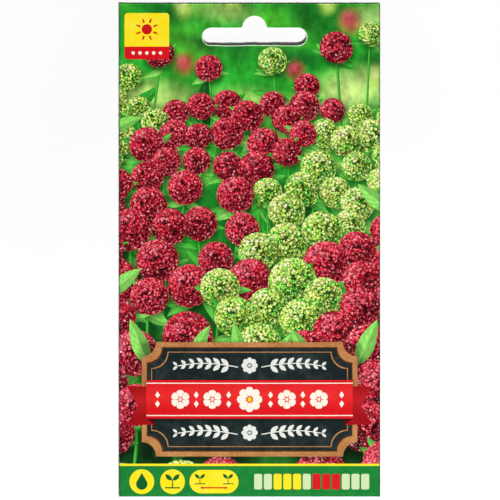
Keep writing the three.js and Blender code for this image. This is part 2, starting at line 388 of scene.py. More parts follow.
def strip(points, width, profile, kind, pal, order, rng, b=0.6, n=9):
    """Leaf or stem along a curve, its width following profile(v)."""
    ctrl = [arr(p) for p in points]
    m = 26
    ts = np.linspace(0, 1, m)
    line = np.array([(1 - t) ** 2 * ctrl[0] + 2 * t * (1 - t) * ctrl[1] + t * t * ctrl[2] for t in ts])
    d = np.gradient(line, axis=0)
    d /= np.linalg.norm(d, axis=1)[:, None]
    nrm = np.stack([-d[:, 1], d[:, 0]], 1)
    w = np.array([width * profile(t) for t in ts])
    pick = np.unique(np.round(np.linspace(0, m - 1, n)).astype(int))
    left = [line[i] + nrm[i] * w[i] for i in pick]
    right = [line[i] - nrm[i] * w[i] for i in reversed(pick)]
    poly = []
    for p in right[::-1] + left[::-1]:
        if not poly or np.hypot(*(p - poly[-1])) > 0.02:
            poly.append(p)
    if np.hypot(*(poly[0] - poly[-1])) < 0.02:
        poly.pop()

    def loc(p):
        q = p[:, None, :] - line[None]
        k = np.argmin((q ** 2).sum(2), 1)
        side = (q[np.arange(len(p)), k] * nrm[k]).sum(1)
        along = (q[np.arange(len(p)), k] * d[k]).sum(1) / (np.linalg.norm(line[-1] - line[0]) + 1e-6)
        return np.stack([side / np.maximum(w[k], width * 0.12), ts[k] + along * 0.6], 1)

    return Motif(poly, kind, loc, lit(pal, b), lit(pal, min(b + 0.38, 1.15)), order, rng.random())


leaf_profile = lambda t: math.sin(math.pi * min(1, t * 0.985 + 0.012) ** 0.78) ** 0.85 if 0 < t < 1 else 0.0
stem_profile = lambda t: 1.0


def leaf(x, y, angle, length, width, pal, order, rng, b=0.6, bend=0.18):
    a = math.radians(angle)
    d, n = arr([math.cos(a), math.sin(a)]), arr([-math.sin(a), math.cos(a)])
    p0 = arr([x, y])
    return strip([p0, p0 + d * length * 0.5 + n * length * bend, p0 + d * length], width / 2, leaf_profile, C_LEAF, pal, order, rng, b, 11)


# ---- small drawn devices
def shape(pts, kind, tone, order, hi=None, centre=(0, 0), s=1.0):
    return Motif(pts, kind, flat_loc(centre[0], centre[1], s, s), tone, hi, order)


def sprig(cx, cy, side, length, size, tone, order):
    """curved spray of small leaves"""
    n = max(4, int(length / (1.9 * size)))
    stem = [(cx + side * length * i / n, cy + 0.9 * size * math.sin(i / n * math.pi * 0.9)) for i in range(n + 1)]
    out = [shape([(x, y + 0.16) for x, y in stem] + [(x, y - 0.16) for x, y in reversed(stem)], C_CHALK, tone, order)]
    for i in range(1, n + 1):
        x, y = stem[i]
        s = (1.0 - 0.45 * i / n) * size
        for up in (-1, 1):
            a = math.atan2(up * 0.75, side * 0.9)
            d, p = arr([math.cos(a), math.sin(a)]), arr([-math.sin(a), math.cos(a)])
            c, L, W = arr([x, y]), 2.5 * s, 0.62 * s
            pts = [c + d * L * (t + 0.08) + p * W * w for t, w in ((0.0, 0.0), (0.2, 0.7), (0.5, 1.0), (0.8, 0.6), (1.0, 0.0), (0.8, -0.6), (0.5, -1.0), (0.2, -0.7))]
            out.append(shape(pts, C_CHALK, tone, order))
    return out


def rosette(cx, cy, r, petals, tone, order, eye=None):
    """round open blossom of drop-shaped petals"""
    out = []
    c = arr([cx, cy])
    for i in range(petals):
        a = math.pi / 2 + 2 * math.pi * i / petals
        d, p = arr([math.cos(a), math.sin(a)]), arr([-math.sin(a), math.cos(a)])
        w = r * math.sin(math.pi / petals) * 0.80
        pts = [c + d * r * t + p * w * k for t, k in ((0.26, 0.25), (0.5, 0.72), (0.76, 1.0), (0.94, 0.66), (1.0, 0.0), (0.94, -0.66), (0.76, -1.0), (0.5, -0.72), (0.26, -0.25))]
        out.append(shape(pts, C_CHALK, tone, order))
    out.append(shape(circle(cx, cy, r * 0.17, 12), C_CHALK, eye if eye is not None else tone, order))
    return out


INK_RED, INK_ORANGE, INK_GREEN = srgb(204, 20, 28), srgb(214, 60, 18), srgb(10, 92, 44)
YEL, YEL_HI = srgb(250, 224, 24), srgb(255, 240, 90)


def disc(cx, cy, r, order):
    return shape(circle(cx, cy, r, 36), C_YEL, YEL, order, YEL_HI)


def pic_sun(cx, cy, s, order, tone=INK_ORANGE):
    out = [shape(circle(cx, cy, 1.35 * s, 22), C_ICON, tone, order)]
    c = arr([cx, cy])
    for i in range(8):
        a = i * math.pi / 4 + math.pi / 8
        d, n = arr([math.cos(a), math.sin(a)]), arr([-math.sin(a), math.cos(a)])
        out.append(shape([c + (d * 1.85 - n * 0.28) * s, c + (d * 3.0 - n * 0.14) * s, c + (d * 3.0 + n * 0.14) * s, c + (d * 1.85 + n * 0.28) * s], C_ICON, tone, order))
    return out


def pic_drop(cx, cy, s, order, tone=INK_GREEN):
    pts = [(cx, cy + 2.7 * s)]
    for i in range(15):
        a = math.radians(30 - i * 240 / 14)
        pts.append((cx + 1.75 * s * math.cos(a), cy + (-0.75 + 1.75 * math.sin(a)) * s))
    return [shape(pts, C_ICON, tone, order)]


def pic_sprout(cx, cy, s, order, tone=INK_GREEN, ground=True):
    q = lambda pts: [(cx + x * s, cy + y * s) for x, y in pts]
    out = [shape(q([(-2.3, -2.1), (2.3, -2.1), (2.3, -1.7), (-2.3, -1.7)]), C_ICON, tone, order)] if ground else []
    out.append(shape(q([(-0.18, -1.75), (0.18, -1.75), (0.14, 0.6), (-0.14, 0.6)]), C_ICON, tone, order))
    for k in (-1, 1):
        out.append(shape(q([(0, 0.4), (k * 0.9, 0.35), (k * 1.9, 1.0), (k * 2.2, 2.3), (k * 1.1, 2.1), (k * 0.3, 1.3)]), C_ICON, tone, order))
    return out


def pic_arrow(x0, y0, x1, y1, order, tone=INK_GREEN, w=0.16, head=0.75):
    """line with a head at both ends"""
    a, b = arr([x0, y0]), arr([x1, y1])
    d = (b - a) / np.linalg.norm(b - a)
    n = arr([-d[1], d[0]])
    out = [shape([a + d * head * 0.8 - n * w, b - d * head * 0.8 - n * w, b - d * head * 0.8 + n * w, a + d * head * 0.8 + n * w], C_ICON, tone, order)]
    for p, s in ((a, 1), (b, -1)):
        out.append(shape([p, p + s * d * head * 1.2 + n * head * 0.6, p + s * d * head * 1.2 - n * head * 0.6], C_ICON, tone, order))
    return out


# ------------------------------------------------------------------ front print: garden of round blooms
rng = random.Random(20)
blobs = []          # soft out-of-focus shapes: x, y, rx, ry, angle, colour, softness, strength


def soft(x, y, rx, ry, ang, col, soft_=0.5, k=1.0):
    blobs.append((x, y, rx, ry, math.radians(ang), arr(col), soft_, k))


for _ in range(110):
    y = rng.uniform(-60, 80)
    k = rng.random()
    if k < 0.42:
        col = srgb(rng.uniform(10, 24), rng.uniform(70, 104), rng.uniform(24, 38))
    else:
        col = srgb(rng.uniform(40, 92), rng.uniform(160, 200), rng.uniform(40, 64))
    soft(rng.uniform(-42, 42), y, rng.uniform(4, 10), rng.uniform(2.5, 7), rng.uniform(-40, 40), col, 0.9, 0.75)
for x, y, rx, ry, k in ((-30, 47, 13, 5, 0.8), (4, 44, 15, 4.5, 0.75), (31, 49, 12, 6, 0.85), (-12, 33, 12, 5, 0.6), (24, 30, 13, 5, 0.6), (-35, 22, 9, 5, 0.5), (38, 71, 8, 4, 0.5), (-8, 73, 9, 3, 0.4)):
    soft(x, y, rx, ry, rng.uniform(-12, 12), srgb(rng.uniform(176, 214), rng.uniform(226, 240), rng.uniform(112, 150)), 0.95, k)
for x, y, r, c in ((-20, 57, 3.2, 0), (31, 70, 3.6, 0), (14, 55, 2.8, 0), (-5, 76, 2.4, 1), (24, 75, 2.6, 1), (-20, 74, 3.0, 1), (39, 53, 3.2, 1)):
    soft(x, y, r, r * 1.05, 0, srgb(178, 26, 56) if c == 0 else srgb(172, 204, 88), 0.8, 0.85)
    soft(x - r * 0.25, y + r * 0.3, r * 0.5, r * 0.5, 0, srgb(226, 96, 118) if c == 0 else srgb(226, 242, 160), 0.9, 0.6)


def background(p):
    y = p[:, 1]
    top, mid, low = arr(srgb(40, 158, 42)), arr(srgb(30, 132, 38)), arr(srgb(12, 60, 22))
    t = smooth(10, 55, y)[:, None]
    s = smooth(-40, 26, y)[:, None]
    col = low + (mid - low) * s
    col = col + (top - col) * t
    for x, yy, rx, ry, a, c, sf, k in blobs:
        d = p - np.array([x, yy])
        u = (d[:, 0] * math.cos(a) + d[:, 1] * math.sin(a)) / rx
        v = (-d[:, 0] * math.sin(a) + d[:, 1] * math.cos(a)) / ry
        w = (1 - smooth(1 - sf, 1 + sf * 0.6, np.sqrt(u * u + v * v)))[:, None] * k
        col = col + (c - col) * w
    return col


PX, PY0, PY1 = 33.0, -63.2, -28.2          # framed panel
PORD, BAND_Y = 400, -66.0


def bloom_layout():
    """blooms scattered with even gaps, larger towards the front, in drifts of crimson and lime"""
    r = random.Random(7)
    heads = []
    for _ in range(9000):
        x, y = r.uniform(-44, 44), r.uniform(-72, 46)
        R = (7.4 - 3.3 * min(max((y + 31) / 77, 0), 1)) * r.uniform(0.84, 1.12)
        if all((x - h[0]) ** 2 + ((y - h[1]) * 1.04) ** 2 > (0.765 * (R + h[2])) ** 2 for h in heads):
            heads.append([x, y, R, math.sin(x * 0.075 - y * 0.050 + 0.5) + r.uniform(-0.6, 0.6)])
    heads.sort(key=lambda h: -h[1])
    return heads


HEADS, motifs = [], []
layout = bloom_layout()
extra = [[-27.5, 60.0, 4.3, -1], [26.5, 61.8, 4.9, -1], [7.0, 57.8, 4.2, 1], [37.0, 66.0, 3.7, 1], [-12.5, 55.6, 4.0, -1], [-37.0, 53.0, 4.0, 1], [17.5, 50.2, 3.8, -1]]
layout = extra + layout
# far stems and narrow leaves
for _ in range(90):
    x, y = rng.uniform(-42, 42), rng.uniform(-66, 44)
    pal = rng.choice((DEEP, LEAFY, LEAFY, FRESH))
    motifs.append(leaf(x, y, rng.uniform(20, 160), rng.uniform(9, 17), rng.uniform(3.0, 5.4), pal, 0 if pal is DEEP else 0.5, rng, rng.uniform(0.4, 0.85), rng.uniform(-0.25, 0.25)))
motifs.sort(key=lambda m: m.order)
plate_cover = ("rect", -PX + 1, PY0 + 1, PX - 1, PY1 - 1)
visible = [h for h in layout if not (abs(h[0]) < PX - 0.2 * h[2] and PY0 - 3 < h[1] < PY1 - 0.5 * h[2]) and h[1] > -75]
for k, (x, y, R, drift) in enumerate(visible):
    order = 2 + k
    lime = drift > 0.42
    if lime:
        pals = (LIME, PALE, GRASS, LIME, PALE, STRAW) if rng.random() < 0.5 else (LIME, GRASS, LIME, PALE)
    else:
        pals = (CRIMSON, ROSE, CRIMSON, MAROON) if rng.random() < 0.75 else (ROSE, CRIMSON, ROSE)
    covers = [("disc", h[0], h[1], h[2] * 0.9) for h in visible[k + 1:] if abs(h[0] - x) < 20 and abs(h[1] - y) < 20]
    covers += [plate_cover, ("rect", -60, -90, 60, BAND_Y), ("rect", 40.6, -90, 80, 90), ("rect", -80, -90, -40.6, 90)]
    fall = R * 3.6 if y < 50 else y - 38
    motifs.append(strip([(x, y), (x + rng.uniform(-1.5, 1.5), y - fall * 0.5), (x + rng.uniform(-3, 3), y - fall)], 0.075 * R + 0.05, stem_profile, C_STEM, LEAFY, order - 0.7, rng, 0.62, 8))
    for side in (-1, 1, -1, 1):
        ang = 90 + side * rng.uniform(30, 125)
        base = (x + side * R * 0.25, y - R * rng.uniform(0.4, 1.1))
        motifs.append(leaf(base[0], base[1], ang, R * rng.uniform(1.45, 2.1), R * rng.uniform(0.44, 0.62), FRESH if rng.random() < 0.5 else LEAFY, order - 0.6, rng, rng.uniform(0.5, 0.95), side * rng.uniform(-0.22, 0.12)))
    HEADS.append((x, y, R, order))
    n = int(np.clip(46 + 8.8 * R, 70, 116))
    motifs += flower_head(x, y, R, pals, n, (x / 40 * 0.32 + rng.uniform(-0.1, 0.1), 0.12 + (y + 30) / 80 * 0.28 + rng.uniform(-0.1, 0.1)), order, rng, covers)
# leaves in front of the lowest blooms
for x, y, a, L, W, b in ((-31, -35, 112, 15, 5.2, 0.95), (33, -35, 66, 15, 5.4, 0.95), (-3, -33, 100, 11, 4.0, 0.85), (19, -34, 122, 12, 4.2, 0.85),
                         (-17, -34, 66, 12, 4.2, 0.9), (8, -34, 60, 10, 3.6, 0.9), (-43, -14, 40, 13, 4.6, 0.95), (43, 12, 140, 13, 4.6, 0.95), (-43, 36, 24, 11, 3.8, 0.85)):
    motifs.append(leaf(x, y, a, L, W, FRESH, PORD - 2, rng, b, rng.uniform(-0.15, 0.15)))

# ---- dark panel: plain kraft border, leaf sprays and a ribbon of blossoms
CHALK, CREAM = srgb(232, 234, 226), srgb(252, 244, 228)
PY = (PY0 + PY1) / 2
KRAFT, KRAFT_HI = srgb(164, 104, 56), srgb(212, 156, 98)
motifs.append(shape(notched(-PX, PY0, PX, PY1, 4.4), C_KRAFT, KRAFT, PORD, KRAFT_HI))
motifs.append(shape(notched(-PX + 1.5, PY0 + 1.5, PX - 1.5, PY1 - 1.5, 4.7), C_KRAFT, srgb(70, 36, 18), PORD + 0.2, srgb(96, 56, 30)))
motifs.append(shape(notched(-PX + 1.85, PY0 + 1.85, PX - 1.85, PY1 - 1.85, 4.8), C_SLATE, srgb(22, 33, 34), PORD + 0.3, srgb(62, 76, 74)))
motifs.append(shape(notched(-PX + 2.9, PY0 + 2.9, PX - 2.9, PY1 - 2.9, 5.0), C_KRAFT, KRAFT, PORD + 0.35, KRAFT_HI))
motifs.append(shape(notched(-PX + 3.15, PY0 + 3.15, PX - 3.15, PY1 - 3.15, 5.05), C_SLATE, srgb(22, 33, 34), PORD + 0.4, srgb(62, 76, 74)))
for sy in (1, -1):
    for side in (-1, 1):
        motifs += sprig(side * 3.6, PY + sy * 10.3 - 0.4, side, 18.4, 1.30, CHALK, PORD + 0.5)
    motifs += rosette(0, PY + sy * 10.3 + 0.1, 2.5, 8, CHALK, PORD + 0.5)
RY0, RY1 = PY - 5.9, PY + 5.9
for side in (-1, 1):
    xa, xb = side * 29.0, side * 37.6
    tail = [(xa, RY0 - 1.9), (xb, RY0 - 1.9), (xb - side * 3.4, PY - 1.9), (xb, RY1 - 1.9), (xa, RY1 - 1.9)]
    motifs.append(Motif(tail, C_RED, flat_loc(0, PY - 1.9, 1, 6), srgb(156, 12, 20), srgb(192, 32, 36), PORD + 0.6))
    motifs.append(Motif([(xa, RY0 - 1.9), (side * 31.6, RY0), (xa, RY0)], C_RED, flat_loc(0, PY, 1, 6), srgb(74, 4, 10), srgb(90, 8, 14), PORD + 0.7))
motifs.append(Motif([(-31.6, RY0), (31.6, RY0), (31.6, RY1), (-31.6, RY1)], C_RED, flat_loc(0, PY, 1, 6), srgb(214, 20, 28), srgb(234, 48, 48), PORD + 0.8))
for y in (RY0 + 0.8, RY1 - 1.1):
    motifs.append(shape([(-31.6, y), (31.6, y), (31.6, y + 0.30), (-31.6, y + 0.30)], C_CHALK, CREAM, PORD + 0.9))
for x, r, n in ((0, 3.9, 8), (-11.4, 2.9, 6), (11.4, 2.9, 6), (-21.2, 2.9, 6), (21.2, 2.9, 6)):
    motifs += rosette(x, PY, r, n, CREAM, PORD + 0.9, YEL if r > 3 else None)
for x in (-28.2, -16.3, -6.4, 6.4, 16.3, 28.2):
    for k in (-1, 1):
        pts = [(x, PY + k * 0.35), (x + 0.75, PY + k * 1.3), (x, PY + k * 2.5), (x - 0.75, PY + k * 1.3)]
        motifs.append(shape(pts, C_CHALK, CREAM, PORD + 0.9))

# ---- foot band: pictogram discs and a twelve-cell sowing strip
motifs.append(Motif([(-42, -78), (42, -78), (42, BAND_Y), (-42, BAND_Y)], C_BAND, flat_loc(0, -71), srgb(22, 124, 50), srgb(42, 150, 62), PORD + 10))
motifs.append(Motif([(-42, BAND_Y - 0.1), (42, BAND_Y - 0.1), (42, BAND_Y + 0.6), (-42, BAND_Y + 0.6)], C_YEL, flat_loc(0, -71), YEL, YEL_HI, PORD + 11))
cy = -70.9
for x, pic, tone in ((-33.0, pic_drop, INK_GREEN), (-23.6, pic_sprout, INK_GREEN)):
    motifs.append(disc(x, cy, 3.8, PORD + 12))
    motifs += pic(x, cy, 1.0, PORD + 13, tone)
motifs.append(shape(rounded(-18.4, cy - 3.6, -3.4, cy + 3.6, 3.59, 9), C_YEL, YEL, PORD + 12, YEL_HI))
for x in (-15.2, -6.6):
    motifs += pic_sprout(x, cy + 0.7, 0.72, PORD + 13)
motifs += pic_arrow(-15.2, cy - 1.9, -6.6, cy - 1.9, PORD + 13, INK_RED, 0.2)
for i in range(12):
    x = 1.4 + i * 2.98
    col = (250, 224, 40) if i in (2, 3, 4) else (214, 24, 32) if i in (6, 7, 8) else (206, 226, 176)
    motifs.append(shape(rounded(x, cy - 2.4, x + 2.45, cy + 2.4, 0.5, 3), C_ICON, srgb(*col), PORD + 13))

# ---- small yellow tab in the header
TX0, TX1, TY0, TY1 = -38.3, -24.6, 58.4, 72.6
motifs.append(shape(rounded(TX0, TY0, TX1, TY1, 1.0, 4), C_YEL, YEL, PORD + 12, YEL_HI))
motifs.append(shape(rounded(TX0, TY0, TX1, TY0 + 3.9, 1.0, 4)[10:] + [(TX1, TY0 + 3.9), (TX0, TY0 + 3.9)], C_RED, srgb(214, 20, 28), PORD + 12.5, srgb(234, 48, 48)))
tcx = (TX0 + TX1) / 2
motifs += pic_sun(tcx, TY0 + 9.2, 1.18, PORD + 13, INK_RED)
for i in (-2, -1, 0, 1, 2):
    motifs.append(shape(circle(tcx + i * 2.1, TY0 + 1.95, 0.55, 12), C_CHALK, CREAM, PORD + 13))

# ------------------------------------------------------------------ back print, laid out as seen from behind
back_shapes = []
B = back_shapes.append
PALE_G, MID_G, DARK_G = srgb(214, 232, 190), srgb(120, 176, 84), srgb(14, 84, 40)
B(shape([(-42, 42), (42, 42), (42, 78), (-42, 78)], C_BAND, DARK_G, 2, srgb(22, 104, 50)))
B(shape([(-42, 41.3), (42, 41.3), (42, 42), (-42, 42)], C_YEL, YEL, 3, YEL_HI))
for side in (-1, 1):
    back_shapes += sprig(side * 3.6, 47.2, side, 21.0, 1.1, srgb(224, 240, 200), 3)
back_shapes += rosette(0, 47.4, 2.7, 8, srgb(250, 246, 226), 3, YEL)
B(shape(rounded(-36, 13, 36, 38, 2.0), C_PALE, srgb(250, 251, 244), 2, srgb(244, 247, 234)))
for row, (pic, on, col) in enumerate(((pic_sprout, (2, 3, 4), (120, 186, 70)), (pic_drop, (3, 4, 5, 6, 7, 8), (86, 156, 190)), (pic_sun, (6, 7, 8), (208, 26, 44)))):
    y = 33.3 - row * 7.6
    B(disc(-31.4, y, 3.1, 3))
    back_shapes += pic(-31.4, y, 0.82, 4)
    for i in range(12):
        x = -26.2 + i * 4.98
        B(shape(rounded(x, y - 2.5, x + 4.3, y + 2.5, 0.6, 3), C_ICON, srgb(*col) if i in on else PALE_G, 3))
B(shape(rounded(-36, -19, 36, 9.5, 2.0), C_PALE, srgb(250, 251, 244), 2, srgb(244, 247, 234)))
B(shape(rounded(-33.5, -17, 33.5, -7.5, 1.0, 3), C_KRAFT, srgb(134, 92, 58), 3, srgb(168, 124, 84)))
for x in (-21, 0, 21):
    back_shapes += pic_sprout(x, -2.9, 2.6, 4, srgb(34, 128, 50), False)
    B(shape(circle(x, -11.0, 0.8, 12), C_ICON, srgb(52, 22, 18), 4))
for x in (-21, 0):
    back_shapes += pic_arrow(x + 1.6, -5.4, x + 19.4, -5.4, 4, DARK_G, 0.14, 0.8)
back_shapes += pic_arrow(28.5, -7.5, 28.5, -11.8, 4, srgb(250, 250, 240), 0.14, 0.7)
for i, pic in enumerate((pic_sun, pic_drop, pic_sprout)):
    B(disc(-31 + i * 10.4, -27.0, 4.2, 3))
    back_shapes += pic(-31 + i * 10.4, -27.0, 1.08, 4)
B(shape(rounded(3, -56, 36, -22.5, 1.6), C_PALE, srgb(252, 252, 250), 3, srgb(247, 248, 244)))
brng = random.Random(3)
for a in (60, 128, 200, 330, 20):
    B(leaf(-19, -45.5, a, 14.5, 5.0, LEAFY, 3, brng, 0.8, 0.12))
back_shapes += flower_head(-19, -45.5, 8.6, (CRIMSON, ROSE, CRIMSON, MAROON), 96, (-0.1, 0.15), 4, brng)
for y in (11.25, -20.75):
    B(shape([(-36, y - 0.11), (36, y - 0.11), (36, y + 0.11), (-36, y + 0.11)], C_ICON, MID_G, 2))
back_shapes = [m.mirrored() for m in back_shapes]


def back_tone(p):
    t = smooth(-75, 45, p[:, 1])[:, None]
    return arr(srgb(206, 226, 172)) * (1 - t) + arr(srgb(232, 241, 212)) * t


# ------------------------------------------------------------------ sheet builder
def slot_outline(grow=0.0, dx=0.0, dy=0.0, seg=13):
    r = (SLOT_Y1 - SLOT_Y0) / 2 + grow
    yc = (SLOT_Y0 + SLOT_Y1) / 2
    half = SLOT_W / 2 - (SLOT_Y1 - SLOT_Y0) / 2
    y1 = SLOT_Y1 + grow
    f = HUMP_F - grow * 0.6
    fx = math.sqrt((HUMP_R + grow + f) ** 2 - (f + grow) ** 2)
    a = math.atan2(f + grow, fx)
    pts = []

    def arc(cx, cy, rad, a0, a1, n):
        for i in range(n + 1):
            t = a0 + (a1 - a0) * i / n
            pts.append((cx + rad * math.cos(t), cy + rad * math.sin(t)))
    n_line = 28
    for i in range(n_line):
        pts.append((SLOT_X - half + 2 * half * i / n_line, SLOT_Y0 - grow))
    arc(SLOT_X + half, yc, r, -math.pi / 2, math.pi / 2, seg)
    arc(SLOT_X + fx, y1 + f, f, -math.pi / 2, -math.pi + a, 4)
    arc(SLOT_X, SLOT_Y1, HUMP_R + grow, a + 0.02, math.pi - a - 0.02, 16)
    arc(SLOT_X - fx, y1 + f, f, -a, -math.pi / 2, 4)
    arc(SLOT_X - half, yc, r, math.pi / 2, math.pi * 1.5, seg)
    out = []
    for p in pts:
        q = (p[0] + dx, p[1] + dy)
        if not out or math.hypot(q[0] - out[-1][0], q[1] - out[-1][1]) > 0.03:
            out.append(q)
    if math.hypot(out[0][0] - out[-1][0], out[0][1] - out[-1][1]) < 0.03:
        out.pop()
    return np.array(out)


def ccw(poly):
    poly = np.asarray(poly, float)
    if np.sum(poly[:, 0] * np.roll(poly[:, 1], -1) - poly[:, 1] * np.roll(poly[:, 0], -1)) < 0:
        poly = poly[::-1]
    return poly


def as_vectors(pts):
    return [Vector((float(p[0]), float(p[1]))) for p in pts]


def partition(domain, holes, shapes, grid, lines):
    """Cuts the domain by every shape's outline. Returns points, triangles and the topmost shape of each (-1 for none)."""
    verts, faces = [], []
    for poly in [domain] + [s.poly for s in shapes] + list(holes):
        base = len(verts)
        verts.extend(as_vectors(ccw(poly)))
        faces.append(list(range(base, base + len(poly))))
    co, _, tris, _, _, orig = delaunay_2d_cdt(verts, [], faces, 1, 0.002, True)
    n = len(shapes)
    keep, top = [], []
    for t, o in zip(tris, orig):
        if 0 not in o or any(i > n for i in o):
            continue
        keep.append(t)
        top.append(max(o) - 1)
    # second cut with only the outlines that show, the grid and the crease lines
    owner = {}
    for t, k in zip(keep, top):
        for i in range(3):
            a, b = t[i], t[(i + 1) % 3]
            owner.setdefault((a, b) if a < b else (b, a), []).append(k)
    shown = [e for e, ks in owner.items() if len(ks) == 1 or ks[0] != ks[1]]
    used = sorted({v for e in shown for v in e})
    at = {v: i for i, v in enumerate(used)}
    verts = [co[v].copy() for v in used]
    edges = [(at[a], at[b]) for a, b in shown]
    for line, closed in lines:
        base = len(verts)
        verts.extend(as_vectors(line))
        edges.extend((base + i, base + i + 1) for i in range(len(line) - 1))
        if closed:
            edges.append((base + len(line) - 1, base))
    verts.extend(as_vectors(grid))
    co2, _, tris2, _, _, _ = delaunay_2d_cdt(verts, edges, [], 0, 1e-4, False)
    tree = BVHTree.FromPolygons([(c.x, c.y, 0.0) for c in co], keep, all_triangles=True)
    down = Vector((0, 0, -1))
    out, out_top = [], []
    for t in tris2:
        a, b, c = (co2[i] for i in t)
        s = (b.x - a.x) * (c.y - a.y) - (b.y - a.y) * (c.x - a.x)
        if abs(s) < 1e-9:
            continue
        hit = tree.ray_cast(Vector(((a.x + b.x + c.x) / 3, (a.y + b.y + c.y) / 3, 1.0)), down)
        if hit[2] is None:
            continue
        out.append(t if s > 0 else t[::-1])
        out_top.append(top[hit[2]])
    return np.array([(c.x, c.y) for c in co2]), np.array([list(t) for t in out], int), np.array(out_top)


def boundary_loops(tris):
    edges = {(t[i], t[(i + 1) % 3]) for t in tris.tolist() for i in range(3)}
    nxt = {}
    for a, b in edges:
        if (b, a) not in edges:
            nxt.setdefault(a, []).append(b)
    loops = []
    while nxt:
        start = next(iter(nxt))
        loop, cur = [], start
        while True:
            loop.append(cur)
            outs = nxt[cur]
            new = outs.pop()
            if not outs:
                del nxt[cur]
            cur = new
            if cur == start:
                break
        loops.append(loop)
    return loops


def grid_points(x0, x1, y0, y1, step):
    nx, ny = max(2, round((x1 - x0) / step)), max(2, round((y1 - y0) / step))
    return [(x0 + (x1 - x0) * (i + 0.5 * (j % 2)) / nx, y0 + (y1 - y0) * j / ny) for j in range(1, ny) for i in range(1, nx)]


def loop_area(pts):
    pts = np.asarray(pts)
    return 0.5 * np.sum(pts[:, 0] * np.roll(pts[:, 1], -1) - pts[:, 1] * np.roll(pts[:, 0], -1))


